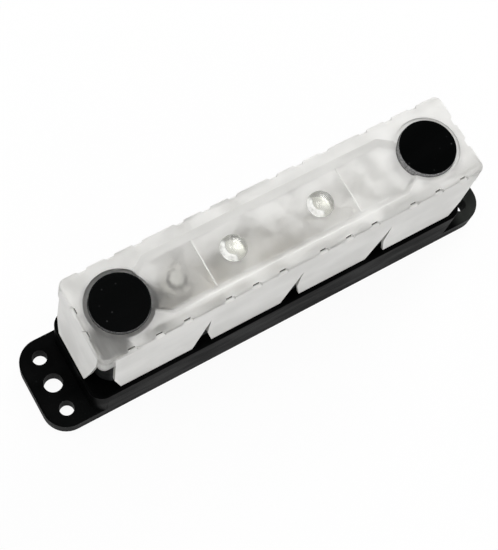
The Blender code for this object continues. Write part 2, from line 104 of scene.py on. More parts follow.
class Operation(Enum):
    """Ways to combine solids."""

    JOIN = "UNION"
    CUT = "DIFFERENCE"
    COMMON = "INTERSECT"


class Across(Enum):
    """The axis that a profile is pushed along."""

    X = 0
    Y = 1


# Shader graph


class Signal:
    """A shader output that can be used in a Python expression."""

    def __init__(self, graph: "Graph", socket: Socket) -> None:
        """Wrap one output socket of a graph."""
        self.graph = graph
        self.socket = socket

    def _math(self, operation: str, first: Operand, second: Operand) -> "Signal":
        """Add a Math node.

        Args:
            operation: Blender's name of the operation.
            first: Left operand.
            second: Right operand.

        Returns:
            The result.
        """
        return self.graph.signal("ShaderNodeMath", {"operation": operation}, {0: first, 1: second})

    def __add__(self, other: Operand) -> "Signal":
        """Sum."""
        return self._math("ADD", self, other)

    def __radd__(self, other: Operand) -> "Signal":
        """Sum with a number on the left."""
        return self._math("ADD", other, self)

    def __sub__(self, other: Operand) -> "Signal":
        """Difference."""
        return self._math("SUBTRACT", self, other)

    def __rsub__(self, other: Operand) -> "Signal":
        """Difference from a number on the left."""
        return self._math("SUBTRACT", other, self)

    def __mul__(self, other: Operand) -> "Signal":
        """Product."""
        return self._math("MULTIPLY", self, other)

    def __rmul__(self, other: Operand) -> "Signal":
        """Product with a number on the left."""
        return self._math("MULTIPLY", other, self)

    def size(self) -> "Signal":
        """Absolute value."""
        return self._math("ABSOLUTE", self, 0.0)

    def power(self, exponent: float) -> "Signal":
        """Raised to a power."""
        return self._math("POWER", self, exponent)

    def most(self, other: Operand) -> "Signal":
        """Larger of two values."""
        return self._math("MAXIMUM", self, other)

    def least(self, other: Operand) -> "Signal":
        """Smaller of two values."""
        return self._math("MINIMUM", self, other)

    def length(self, other: "Signal") -> "Signal":
        """Length of a level vector, with this along X and the other along Y."""
        return (self * self + other * other).power(0.5)

    def ramp(self, low: float, high: float, start: float = 0.0, end: float = 1.0) -> "Signal":
        """Map a span of values smoothly to another.

        Args:
            low: Input that gives start.
            high: Input that gives end.
            start: Output at low.
            end: Output at high.

        Returns:
            The mapped value, held at start and end outside the span.
        """
        return self.graph.signal(
            "ShaderNodeMapRange",
            {"interpolation_type": "SMOOTHSTEP"},
            {"Value": self, "From Min": low, "From Max": high, "To Min": start, "To Max": end},
        )


class Graph:
    """The node tree of one material or world."""

    def __init__(self, tree: bpy.types.NodeTree) -> None:
        """Start from an empty tree."""
        self.tree = tree
        tree.nodes.clear()

    def node(self, kind: str, settings: Optional[dict[str, Any]] = None,
             sockets: Optional[Sockets] = None) -> Node:
        """Add a node.

        Args:
            kind: Blender's type name of the node.
            settings: Properties, set first.
            sockets: Values, signals or output sockets for the inputs, by name or number.

        Returns:
            The node.
        """
        made = self.tree.nodes.new(kind)
        for name, value in (settings or {}).items():
            setattr(made, name, value)
        for name, value in (sockets or {}).items():
            target = made.inputs[name]
            if isinstance(value, Signal):
                self.tree.links.new(value.socket, target)
            elif isinstance(value, Socket):
                self.tree.links.new(value, target)
            elif target.type == "RGBA" and len(value) == 3:
                target.default_value = (*value, 1.0)
            else:
                target.default_value = value
        return made

    def signal(self, kind: str, settings: dict[str, Any], sockets: Sockets) -> Signal:
        """Add a node and return its first output as a signal."""
        return Signal(self, self.node(kind, settings, sockets).outputs[0])

    def place(self) -> Socket:
        """Position on the object, in metres."""
        return self.node("ShaderNodeTexCoord").outputs["Object"]

    def axes(self, kind: str = "Object") -> tuple[Signal, Signal, Signal]:
        """X, Y and Z of the position on the object, or of another coordinate such as its "Normal"."""
        source = self.node("ShaderNodeTexCoord").outputs[kind]
        node = self.node("ShaderNodeSeparateXYZ", {}, {0: source})
        x, y, z = (Signal(self, output) for output in node.outputs)
        return x, y, z

    def noise(self, scale: float, detail: float = 3.0, roughness: float = 0.55,
              at: Optional[Socket] = None) -> Signal:
        """Noise value over the object.

        Args:
            scale: Waves per metre.
            detail: Octaves.
            roughness: Strength of the finer octaves.
            at: Position to read, the object's own when None.

        Returns:
            A value from 0 to 1.
        """
        sockets = {"Vector": at or self.place(), "Scale": scale, "Detail": detail, "Roughness": roughness}
        return self.signal("ShaderNodeTexNoise", {}, sockets)

    def streaks(self, waves: Place, detail: float) -> Signal:
        """Noise with its own waves per metre along X, Y and Z."""
        node = self.node("ShaderNodeMapping", {}, {"Vector": self.place(), "Scale": waves})
        return self.noise(1.0, detail, at=node.outputs[0])

    def tint(self, factor: Signal, first: Union[Socket, Colour], second: Colour) -> Socket:
        """Colour between two colours, of which the first may be an output."""
        node = self.node("ShaderNodeMix", {"data_type": "RGBA"}, {"Factor": factor, 6: first, 7: second})
        return node.outputs[2]

    def bump(self, height: Signal, depth: float) -> Socket:
        """Normal of a surface raised by a height.

        Args:
            height: Height from 0 to 1.
            depth: Metres that 1 stands for.

        Returns:
            The normal.
        """
        return self.node("ShaderNodeBump", {}, {"Distance": depth, "Height": height}).outputs[0]

    def seen(self, mirrored: float) -> Signal:
        """Share of a ray that shows the white background.

        Args:
            mirrored: Share of a mirrored ray.

        Returns:
            1 for a ray straight from the camera or through clear plastic, mirrored for a glossy ray.
        """
        path = self.node("ShaderNodeLightPath")
        straight, through, glossy = (Signal(self, path.outputs[name]) for name in (
            "Is Camera Ray", "Is Transmission Ray", "Is Glossy Ray"))
        return (straight + through).most(glossy * mirrored).least(1.0)

    def mixed(self, share: Signal, first: Node, second: Node) -> Node:
        """Mix of two shaders, with a share of the second."""
        return self.node("ShaderNodeMixShader", {}, {0: share, 1: first.outputs[0], 2: second.outputs[0]})

    def surface(self, shader: Node, end: str = "ShaderNodeOutputMaterial") -> None:
        """Send a shader to the output of the material, or of the world."""
        self.node(end, {}, {"Surface": shader.outputs[0]})


def new_graph(name: str) -> tuple[Material, Graph]:
    """Make a material with an empty graph."""
    material = bpy.data.materials.new(name)
    material.use_nodes = True
    return material, Graph(material.node_tree)


# Finishes


@dataclass(frozen=True)
class BlackMoulding:
    """Fine-grained black moulding with a satin sheen and specks of dust.

    It is greyer inside the cover, painted light that stands in for light through the frosted flaps, paler at
    the right end, a painted sheen, and scuffed on the sides of the post caps.
    """

    dark: Colour = (0.0006, 0.0007, 0.0007)
    light: Colour = (0.0026, 0.0028, 0.0028)
    cap: Colour = (0.0008, 0.0010, 0.0010)
    # Painted light: the walls inside the cover are lighter, standing in for the light that comes through the
    # frosted flaps
    inner: Colour = (0.012, 0.0125, 0.0125)
    long_wall_painted_light: Colour = (0.040, 0.041, 0.041)
    # Painted sheen: the right end is paler, standing in for the surroundings reflected on its top
    painted_sheen: Colour = (0.026, 0.028, 0.026)
    scuffed: Colour = (0.36, 0.36, 0.36)
    dust: Colour = (0.030, 0.031, 0.031)
    cap_z: Span = (64.0 * MM, 64.3 * MM)
    # Heights and facing of the painted light inside the cover
    inner_low: Span = (24.4 * MM, 24.9 * MM)
    inner_high: Span = (58.5 * MM, 58.0 * MM)
    wall_facing: Span = (0.8, 0.95)
    # Where the painted sheen of the right end lies
    painted_sheen_x: Span = (74.0 * MM, 80.0 * MM)
    painted_sheen_clouds: Ramp = (0.3, 0.6, 0.6, 1.0)
    scuff_facing: Span = (0.75, 0.45)
    scuff_z: Span = (58.9 * MM, 59.4 * MM)
    scuff_x: Ramp = (-1.0 * MM, 1.0 * MM, 0.5, 1.0)
    scuff_share: Span = (0.35, 1.0)
    scuff_waves: Waves = (2000.0, 2.0)
    speck_scale: float = 330.0
    speck_reach: Span = (0.13, 0.03)
    dust_waves: Waves = (90.0, 1.0)
    dust_patch: Span = (0.45, 0.65)
    dust_below: float = 0.25
    dust_height: float = 0.5
    cloud_waves: Waves = (60.0, 4.0)
    cloud_span: Span = (0.35, 0.70)
    flow_waves: Place = (40.0, 160.0, 160.0)
    grain_waves: Waves = (3200.0, 2.0)
    grain_depth: float = 0.02 * MM
    grain_rougher: float = 0.06
    cap_smoother: float = 0.12
    roughness: Span = (0.30, 0.44)
    gloss: float = 0.010

    def material(self, name: str) -> Material:
        """Build the material."""
        material, graph = new_graph(name)
        x, _, z = graph.axes()
        _, facing_y, facing_z = graph.axes("Normal")
        cloud = graph.noise(*self.cloud_waves)
        grain = graph.noise(*self.grain_waves)
        flow = graph.streaks(self.flow_waves, 3.0)
        specks = graph.signal("ShaderNodeTexVoronoi", {}, {"Vector": graph.place(), "Scale": self.speck_scale})
        dust = specks.ramp(*self.speck_reach) * graph.noise(*self.dust_waves).ramp(*self.dust_patch)
        high = z.ramp(*self.cap_z)
        # Painted light on the walls inside the cover, stronger on the long walls
        inner = z.ramp(*self.inner_low) * z.ramp(*self.inner_high)
        scuff = facing_z.ramp(*self.scuff_facing) * z.ramp(*self.scuff_z)
        scuff = scuff * graph.noise(*self.scuff_waves).ramp(*MIDDLE, *self.scuff_share) * x.ramp(*self.scuff_x)
        colour = graph.tint(cloud.ramp(*self.cloud_span), self.dark, self.light)
        for share, over in (
            (high, self.cap),
            # Painted light on the walls inside the cover
            (inner, self.inner),
            (inner * facing_y.size().ramp(*self.wall_facing), self.long_wall_painted_light),
            # Painted sheen at the right end
            (x.ramp(*self.painted_sheen_x) * cloud.ramp(*self.painted_sheen_clouds), self.painted_sheen),
            (scuff, self.scuffed),
            (dust * (self.dust_below + high * (1.0 - self.dust_below)), self.dust),
        ):
            colour = graph.tint(share, colour, over)
        rough = flow.ramp(*WIDE, *self.roughness) + grain * self.grain_rougher - high * self.cap_smoother
        normal = graph.bump(grain + dust * self.dust_height, self.grain_depth)
        graph.surface(graph.node("ShaderNodeBsdfPrincipled", {}, {
            "Base Color": colour, "Roughness": rough, "Specular IOR Level": self.gloss, "Normal": normal}))
        return material


@dataclass(frozen=True)
class FrostedPlastic:
    """Frosted translucent moulding: white flaps under a roof that clears towards one corner.

    The finish mixes a white and a clearer plastic, and painted shade makes two zones of the roof darker.
    """

    dark: Colour = (0.80, 0.795, 0.772)
    light: Colour = (0.92, 0.915, 0.893)
    # Painted shade: the colour that two zones of the roof are darkened towards
    painted_shade_colour: Colour = (0.52, 0.515, 0.50)
    white_through: float = 0.22
    clear_through: float = 0.94
    white_roughness: float = 0.50
    clear_roughness: float = 0.56
    ior: float = 1.45
    milk_waves: Waves = (45.0, 3.0)
    milk_share: float = 0.6
    flow_waves: Place = (30.0, 140.0, 90.0)
    flow_share: float = 0.4
    flow_roughness: Span = (-0.05, 0.06)
    frost_waves: Waves = (2400.0, 2.0)
    frost_roughness: float = 0.05
    frost_depth: float = 0.02 * MM
    ripple_waves: Waves = (170.0, 2.0)
    ripple_height: float = 2.0

    # Where the flaps are
    wall_x: float = 69.6 * MM
    wall_y: float = 13.8 * MM
    bend_z: float = 62.0 * MM
    skirt_x: float = 66.2 * MM
    skirt_y: float = 12.2 * MM
    skirt_z: Span = (54.0 * MM, 54.6 * MM)
    cut_facing: Span = (0.6, 0.75)
    at_wall: Span = (0.0, 0.2 * MM)
    at_skirt: Span = (-0.1 * MM, 0.1 * MM)
    cut_depth: float = 0.5 * MM

    # Clearer plastic on the roof, the strip along its front edge and its front left corner
    slant: float = 2.2
    roof_left: Ramp = (-82.0 * MM, -42.0 * MM, 0.50, 0.32)
    roof_right: Ramp = (0.0, 80.0 * MM, 0.0, 0.22)
    strip_y: Span = (-11.0 * MM, -12.5 * MM)
    strip_x: Ramp = (0.0, -45.0 * MM, 0.5, 1.0)
    strip_end: Span = (-61.0 * MM, -52.0 * MM)
    strip_share: float = 0.27
    corner: Point = (-68.0 * MM, -12.0 * MM)
    corner_reach: Span = (13.5 * MM, 5.0 * MM)
    corner_share: float = 0.97
    mottle_waves: Waves = (85.0, 4.0, 0.6)
    mottle: Span = (-0.18, 0.20)

    # Clearer plastic in the recess
    recess_x: Span = (51.0 * MM, 49.5 * MM)
    recess_y: Span = (9.6 * MM, 7.6 * MM)
    recess_z: Span = (61.5 * MM, 61.1 * MM)
    floor_slant: Ramp = (-52.0 * MM, 50.0 * MM, 0.80, 0.46)
    floor_right: Ramp = (38.0 * MM, 48.0 * MM, 0.0, 0.25)
    floor_back: Ramp = (0.0, 7.0 * MM, 0.0, 0.22)
    neck_x: Span = (38.0 * MM, 46.0 * MM)
    neck_y: Ramp = (-1.0 * MM, 6.0 * MM, 0.0, 0.20)
    left_x: Span = (-26.0 * MM, -42.0 * MM)
    left_y: Ramp = (2.0 * MM, -4.0 * MM, 0.0, 0.25)
    line_x: float = 27.0 * MM
    line: Ramp = (0.25 * MM, 0.45 * MM, 0.3, 1.0)

    # Clearer plastic on the rims round the posts and on the slopes of the recess
    post_x: float = 57.0 * MM
    rim_reach: Span = (11.5 * MM, 11.2 * MM)
    rim_share: Ramp = (0.0, 10.0 * MM, 1.0, 0.22)
    slope_facing: Span = (0.93, 0.80)
    slope_y: Span = (11.5 * MM, 11.0 * MM)
    slope_low: Span = (60.6 * MM, 61.0 * MM)
    slope_high: Span = (62.5 * MM, 62.1 * MM)
    slope_share: Ramp = (2.0 * MM, -2.0 * MM, -0.30, 0.17)
    brow_z: Span = (62.2 * MM, 62.7 * MM)
    brow_share: float = 0.9

    # Painted shade, darker plastic near the front left corner and beside the left post
    roof_z: Span = (60.0 * MM, 60.4 * MM)
    shade_reach: Span = (13.5 * MM, 6.0 * MM)
    shade_waves: Place = (620.0, 100.0, 100.0)
    shade_streaks: Span = (0.65, 1.25)
    shade_share: float = 0.55
    beside: Point = (-43.0 * MM, -5.0 * MM)
    beside_squash: float = 0.55
    beside_reach: Span = (9.0 * MM, 3.5 * MM)
    beside_waves: Waves = (160.0, 2.0)
    beside_mottle: Span = (0.75, 1.0)
    beside_share: float = 0.85

    def flaps(self, x: Signal, y: Signal, z: Signal, facing: Sequence[Signal]) -> Signal:
        """White share of the walls.

        Args:
            x: Place along the bar.
            y: Place across the bar.
            z: Height.
            facing: Parts of the surface's own direction, without their signs.

        Returns:
            1 on the flaps, 0 on the roof, the collars, the corner skirts and the flaps' cut edges.
        """
        far_x, far_y = x.size(), y.size()
        side = (far_y - self.wall_y).ramp(*self.at_wall)
        end = (far_x - self.wall_x).ramp(*self.at_wall)
        below = z.ramp(self.bend_z + self.cut_depth, self.bend_z)
        skirt = (far_x - self.skirt_x).least(far_y - self.skirt_y).ramp(*self.at_skirt) * z.ramp(*self.skirt_z)
        cut_x = facing[0].ramp(*self.cut_facing) * far_x.ramp(self.wall_x, self.wall_x - self.cut_depth)
        cut_y = facing[1].ramp(*self.cut_facing) * far_y.ramp(self.wall_y, self.wall_y - self.cut_depth)
        return (side * (1.0 - cut_x)).most(end * (1.0 - cut_y)) * below * (1.0 - skirt)

    def roof(self, x: Signal, y: Signal) -> Signal:
        """Clearer share of the flat roof."""
        along = x + y * self.slant
        strip = y.ramp(*self.strip_y) * x.ramp(*self.strip_x) * x.ramp(*self.strip_end)
        roof = along.ramp(*self.roof_left) - along.ramp(*self.roof_right) + strip * self.strip_share
        return roof.most(self.near_corner(x, y, self.corner_reach) * self.corner_share)

    def recess(self, x: Signal, y: Signal) -> Signal:
        """Clearer share of the recess floor, with the two lines of the nameplate whiter."""
        floor = (x + y * self.slant).ramp(*self.floor_slant) - x.ramp(*self.floor_right)
        floor = floor - x.size().ramp(*self.neck_x) * y.ramp(*self.neck_y)
        floor = floor - y.ramp(*self.floor_back) + x.ramp(*self.left_x) * y.ramp(*self.left_y)
        return floor * (x.size() - self.line_x).size().ramp(*self.line)

    def near_corner(self, x: Signal, y: Signal, reach: Span) -> Signal:
        """1 at the front left corner of the roof, falling to 0 over a reach."""
        return (x - self.corner[0]).length(y - self.corner[1]).ramp(*reach)

    def clearness(self, graph: Graph) -> Signal:
        """Share of the clearer plastic over the moulding.

        Args:
            graph: The material's graph.

        Returns:
            0 where the plastic is white, 1 where it is clear.
        """
        x, y, z = graph.axes()
        facing = [part.size() for part in graph.axes("Normal")]
        inside = x.size().ramp(*self.recess_x) * y.size().ramp(*self.recess_y) * z.ramp(*self.recess_z)
        mottle = graph.noise(*self.mottle_waves).ramp(*WIDE, *self.mottle)
        edge = (x.size() - self.post_x).length(y).ramp(*self.rim_reach)
        flat = self.roof(x, y) * (1.0 - inside) + self.recess(x, y) * inside + mottle
        flat = flat.most(edge * x.ramp(*self.rim_share))
        slope = facing[2].ramp(*self.slope_facing) * y.size().ramp(*self.slope_y) * (1.0 - edge)
        brow = slope * z.ramp(*self.brow_z)
        fall = slope * z.ramp(*self.slope_low) * z.ramp(*self.slope_high) * y.ramp(*self.slope_share)
        clear = (flat + fall) * (1.0 - brow * self.brow_share) * (1.0 - self.flaps(x, y, z, facing))
        return clear.ramp(0.0, 1.0)

    def painted_shade(self, graph: Graph) -> Signal:
        """Share of painted shade, near the front left corner and beside the left post.

        Args:
            graph: The material's graph.

        Returns:
            0 for the plain colour, 1 for the painted shade.
        """
        x, y, z = graph.axes()
        corner = self.near_corner(x, y, self.shade_reach)
        corner = corner * graph.streaks(self.shade_waves, 3.0).ramp(*MIDDLE, *self.shade_streaks)
        beside = ((x - self.beside[0]) * self.beside_squash).length(y - self.beside[1]).ramp(*self.beside_reach)
        beside = beside * graph.noise(*self.beside_waves).ramp(*WIDE, *self.beside_mottle)
        return z.ramp(*self.roof_z) * (corner * self.shade_share).most(beside * self.beside_share)

    def principled(self, graph: Graph, colour: Socket, rough: Signal, through: float, normal: Socket) -> Node:
        """One of the two plastics that are mixed."""
        return graph.node("ShaderNodeBsdfPrincipled", {}, {
            "Base Color": colour, "Roughness": rough, "IOR": self.ior, "Transmission Weight": through,
            "Normal": normal})

    def material(self, name: str) -> Material:
        """Build the material."""
        material, graph = new_graph(name)
        milk_and_painted_light = graph.noise(*self.milk_waves)
        flow = graph.streaks(self.flow_waves, 2.0)
        frost = graph.noise(*self.frost_waves)
        ripple = graph.noise(*self.ripple_waves)
        cloud = (milk_and_painted_light * self.milk_share + flow * self.flow_share).ramp(*MIDDLE)
        # Painted shade darkens the colour near the front left corner and beside the left post
        colour = graph.tint(self.painted_shade(graph), graph.tint(cloud, self.dark, self.light), self.painted_shade_colour)
        uneven = flow.ramp(*WIDE, *self.flow_roughness) + frost * self.frost_roughness
        normal = graph.bump(frost + ripple * self.ripple_height, self.frost_depth)
        white = self.principled(graph, colour, uneven + self.white_roughness, self.white_through, normal)
        clear = self.principled(graph, colour, uneven + self.clear_roughness, self.clear_through, normal)
        graph.surface(graph.mixed(self.clearness(graph), white, clear))
        return material


@dataclass(frozen=True)
class ClearPlastic:
    """Polished clear moulding of the domes, with painted light: a whiter crescent at one side of the foot that
    stands in for light gathered through the dome.
    """

    tint: Colour = (0.95, 0.95, 0.92)
    deep: Colour = (0.88, 0.88, 0.82)
    # Colour of the painted light on the crescent at the foot
    milk_and_painted_light: Colour = (0.97, 0.97, 0.95)
    through: float = 0.84
    ior: float = 1.49
    roughness: Span = (0.02, 0.09)
    painted_light_rougher: float = 0.2
    swirl_waves: Waves = (420.0, 2.0)
    swirl_depth: float = 0.05 * MM
    haze_waves: Waves = (900.0, 2.0)
    haze_span: Span = (0.4, 0.7)
    dome_x: float = 16.2 * MM
    middle_x: Ramp = (-0.5 * MM, 0.5 * MM, -1.0, 1.0)
    # Side of the foot that the painted light falls on
    toward: Point = (-0.98, -0.19)
    ring: Span = (2.73 * MM, 3.276 * MM)
    side: Span = (1.1375 * MM, 2.5025 * MM)
    foot_z: Span = (60.9 * MM, 61.1 * MM)
    crescent_swirl: Ramp = (0.3, 0.6, 0.55, 1.0)

    def crescent(self, graph: Graph) -> Signal:
        """1 on the crescent of painted light at the foot."""
        x, y, z = graph.axes()
        from_x = (x.size() - self.dome_x) * x.ramp(*self.middle_x)
        facing = from_x * self.toward[0] + y * self.toward[1]
        return from_x.length(y).ramp(*self.ring) * facing.ramp(*self.side) * z.ramp(*self.foot_z)

    def material(self, name: str) -> Material:
        """Build the material."""
        material, graph = new_graph(name)
        swirl = graph.noise(*self.swirl_waves)
        rough = graph.noise(*self.haze_waves).ramp(*self.haze_span, *self.roughness)
        normal = graph.bump(swirl, self.swirl_depth)
        clear = graph.node("ShaderNodeBsdfPrincipled", {}, {
            "Base Color": graph.tint(swirl.ramp(*MIDDLE), self.deep, self.tint), "Roughness": rough,
            "IOR": self.ior, "Transmission Weight": self.through, "Normal": normal})
        # Painted light: an opaque whiter plastic on the crescent stands in for light gathered through the dome
        painted_light_shader = graph.node("ShaderNodeBsdfPrincipled", {}, {
            "Base Color": graph.tint(swirl, self.tint, self.milk_and_painted_light), "Roughness": rough + self.painted_light_rougher,
            "Normal": normal})
        share = self.crescent(graph) * swirl.ramp(*self.crescent_swirl)
        graph.surface(graph.mixed(share, clear, painted_light_shader))
        return material


@dataclass(frozen=True)
class PlatedMetal:
    """Bare or plated metal with a worked surface and slight tarnish."""

    bright: Colour
    dull: Colour
    roughness: Span
    line_waves: Place
    line_share: float = 0.3
    line_rougher: float = 0.08
    patch_waves: Waves = (130.0, 4.0)
    patch_share: float = 0.7
    pit_waves: Waves = (5200.0, 1.0)
    pit_height: float = 0.3
    depth: float = 0.006 * MM

    def material(self, name: str) -> Material:
        """Build the material."""
        material, graph = new_graph(name)
        patch = graph.noise(*self.patch_waves)
        line = graph.streaks(self.line_waves, 2.0)
        pits = graph.noise(*self.pit_waves)
        tarnish = (patch * self.patch_share + line * self.line_share).ramp(*MIDDLE)
        smooth, coarse = self.roughness
        graph.surface(graph.node("ShaderNodeBsdfPrincipled", {}, {
            "Base Color": graph.tint(tarnish, self.dull, self.bright),
            "Metallic": 1.0,
            "Roughness": patch.ramp(*WIDE, coarse, smooth) + line * self.line_rougher,
            "Normal": graph.bump(line + pits * self.pit_height, self.depth)}))
        return material


TIN = PlatedMetal((0.66, 0.63, 0.58), (0.50, 0.47, 0.43), (0.28, 0.46), (900.0, 60.0, 900.0))
STUD_STEEL = PlatedMetal((0.66, 0.66, 0.64), (0.48, 0.48, 0.47), (0.22, 0.38), (300.0, 300.0, 2600.0))
WASHER_STEEL = PlatedMetal((0.62, 0.62, 0.61), (0.47, 0.47, 0.46), (0.26, 0.42), (1500.0, 1500.0, 200.0))
SPRING_STEEL = PlatedMetal((0.46, 0.46, 0.45), (0.30, 0.30, 0.30), (0.30, 0.48), (900.0, 900.0, 1800.0))
NUT_STEEL = PlatedMetal((0.68, 0.67, 0.64), (0.50, 0.49, 0.47), (0.20, 0.36), (260.0, 260.0, 2200.0))


# Outlines


def rounded(half_x: float, half_y: float, radius: float, steps: int = 10) -> Outline:
    """Rectangle with round corners.

    Args:
        half_x: Half of the length.
        half_y: Half of the width.
        radius: Corner radius.
        steps: Segments of a corner.

    Returns:
        Points counter-clockwise from above.
    """
    points: Outline = []
    for corner, (sx, sy) in enumerate(((1, 1), (-1, 1), (-1, -1), (1, -1))):
        cx, cy = sx * (half_x - radius), sy * (half_y - radius)
        for step in range(steps + 1):
            angle = math.pi / 2 * (corner + step / steps)
            points.append((cx + radius * math.cos(angle), cy + radius * math.sin(angle)))
    return points


def circle(radius: float, steps: int, centre: Point = (0.0, 0.0), phase: float = 0.0) -> Outline:
    """Points round a circle, counter-clockwise from above."""
    turn = 2 * math.pi / steps
    return [
        (centre[0] + radius * math.cos(phase + turn * k), centre[1] + radius * math.sin(phase + turn * k))
        for k in range(steps)
    ]


def hexagon(flats: float, centre: Point = (0.0, 0.0)) -> Outline:
    """Hexagon of a width over its flats."""
    return circle(flats / math.sqrt(3), 6, centre)


def quarter_round(top: float, edge: float, steps: int) -> list[Point]:
    """Steps up a rounded edge.

    Args:
        top: Height that it ends at.
        edge: Radius of the rounding.
        steps: Number of steps.

    Returns:
        Points as (height, inset).
    """
    turns = [math.pi / 2 * step / steps for step in range(steps + 1)]
    return [(top - edge + edge * math.sin(turn), edge * (1 - math.cos(turn))) for turn in turns]


class Solid:
    """One mesh object and the steps that shape and dress it."""

    def __init__(self, name: str, bm: bmesh.types.BMesh) -> None:
        """Turn a bmesh into an object of the scene."""
        bmesh.ops.recalc_face_normals(bm, faces=bm.faces)
        mesh = bpy.data.meshes.new(name)
        bm.to_mesh(mesh)
        bm.free()
        self.obj = bpy.data.objects.new(name, mesh)
        bpy.context.scene.collection.objects.link(self.obj)

    @classmethod
    def skin(cls, name: str, loops: Sequence[Sequence[Place]]) -> "Solid":
        """Closed body through loops of points.

        Args:
            name: Object name.
            loops: Loops with as many points each; the first and the last are closed by a face.

        Returns:
            The solid.
        """
        bm = bmesh.new()
        rows = [[bm.verts.new(place) for place in loop] for loop in loops]
        count = len(rows[0])
        for first, second in zip(rows, rows[1:]):
            for k in range(count):
                nxt = (k + 1) % count
                bm.faces.new((first[k], first[nxt], second[nxt], second[k]))
        bm.faces.new(list(reversed(rows[0])))
        bm.faces.new(rows[-1])
        return cls(name, bm)

    @classmethod
    def loft(cls, name: str, rings: Sequence[Ring]) -> "Solid":
        """Closed body through level rings of (height, outline)."""
        return cls.skin(name, [[(x, y, z) for x, y in outline] for z, outline in rings])

    @classmethod
    def prism(cls, name: str, outline: Outline, low: float, high: float) -> "Solid":
        """Straight body over one outline."""
        return cls.loft(name, [(low, outline), (high, outline)])

    @classmethod
    def rod(cls, name: str, radius: float, centre: Point, low: float, high: float,
            sides: int = SMALL) -> "Solid":
        """Straight round body."""
        return cls.prism(name, circle(radius, sides, centre), low, high)

    @classmethod
    def turned(cls, name: str, profile: Sequence[Point], sides: int, centre: Point = (0.0, 0.0),
               phase: float = 0.0) -> "Solid":
        """Round body through steps of (height, radius)."""
        return cls.loft(name, [(height, circle(radius, sides, centre, phase)) for height, radius in profile])

    @classmethod
    def pushed(cls, name: str, profile: Outline, near: float, far: float, across: Across) -> "Solid":
        """Body over a profile in an upright plane.

        Args:
            name: Object name.
            profile: Points as (along, height).
            near: Where the body starts.
            far: Where the body ends.
            across: Axis that the profile is pushed along.

        Returns:
            The solid.
        """
        if across is Across.X:
            return cls.skin(name, [[(depth, a, z) for a, z in profile] for depth in (near, far)])
        return cls.skin(name, [[(a, depth, z) for a, z in profile] for depth in (near, far)])

    def combine(self, others: Sequence["Solid"], operation: Operation) -> "Solid":
        """Join, cut or intersect with other solids in one step, and drop them."""
        group = bpy.data.collections.new("tools")
        bpy.context.scene.collection.children.link(group)
        for other in others:
            group.objects.link(other.obj)
        modifier = self.obj.modifiers.new("combine", "BOOLEAN")
        modifier.operation = operation.value
        modifier.solver = "EXACT"
        modifier.operand_type = "COLLECTION"
        modifier.collection = group
        self.apply()
        for other in others:
            bpy.data.objects.remove(other.obj, do_unlink=True)
        bpy.data.collections.remove(group)
        return self

    def join(self, *others: "Solid") -> "Solid":
        """Add other solids."""
        return self.combine(others, Operation.JOIN)

    def cut(self, *others: "Solid") -> "Solid":
        """Cut other solids away."""
        return self.combine(others, Operation.CUT)

    def apply(self) -> "Solid":
        """Apply every modifier."""
        graph = bpy.context.evaluated_depsgraph_get()
        mesh = bpy.data.meshes.new_from_object(self.obj.evaluated_get(graph))
        self.obj.modifiers.clear()
        self.obj.data = mesh
        return self

    def bevel(self, width: float, segments: int = 2, angle: float = 40.0) -> "Solid":
        """Round every edge sharper than an angle.

        Args:
            width: Width of the rounding.
            segments: Faces across it.
            angle: Least angle of an edge, in degrees.

        Returns:
            The solid.
        """
        bm = bmesh.new()
        bm.from_mesh(self.obj.data)
        bmesh.ops.remove_doubles(bm, verts=bm.verts, dist=0.004 * MM)
        bmesh.ops.dissolve_limit(bm, angle_limit=math.radians(0.5), verts=bm.verts, edges=bm.edges)
        bm.to_mesh(self.obj.data)
        bm.free()
        modifier = self.obj.modifiers.new("edge", "BEVEL")
        modifier.width = width
        modifier.segments = segments
        modifier.limit_method = "ANGLE"
        modifier.angle_limit = math.radians(angle)
        modifier.use_clamp_overlap = True
        modifier.harden_normals = False
        return self.apply()

    def smooth(self, angle: float = 35.0) -> "Solid":
        """Shade smooth, with edges over an angle kept sharp."""
        self.obj.data.shade_smooth()
        self.obj.data.set_sharp_from_angle(angle=math.radians(angle))
        modifier = self.obj.modifiers.new("normals", "WEIGHTED_NORMAL")
        modifier.keep_sharp = True
        return self.apply()

    def dress(self, material: Material, slot: Slot, body: Body, *nodes: str) -> Object:
        """Give the piece its finish and hand it to the frame.

        Args:
            material: The finish.
            slot: The record's slot that it stands for; not used.
            body: Body that it rides on.
            nodes: CAD nodes that it replaces.

        Returns:
            The object.
        """
        self.obj.data.materials.clear()
        self.obj.data.materials.append(material)
        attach(self.obj, body.value)
        if nodes:
            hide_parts(*nodes)
        return self.obj


# Sub-assemblies


@dataclass
class Hardware:
    """Sizes that the studs, the bar and the base share."""

    inner_x: float = 16.2 * MM
    step: float = 20.4 * MM
    stud_radius: float = 3.0 * MM
    stud_hole: float = 3.2 * MM

    def places(self) -> list[float]:
        """Places of the studs along X."""
        return [-self.inner_x - self.step, -self.inner_x, self.inner_x, self.inner_x + self.step]


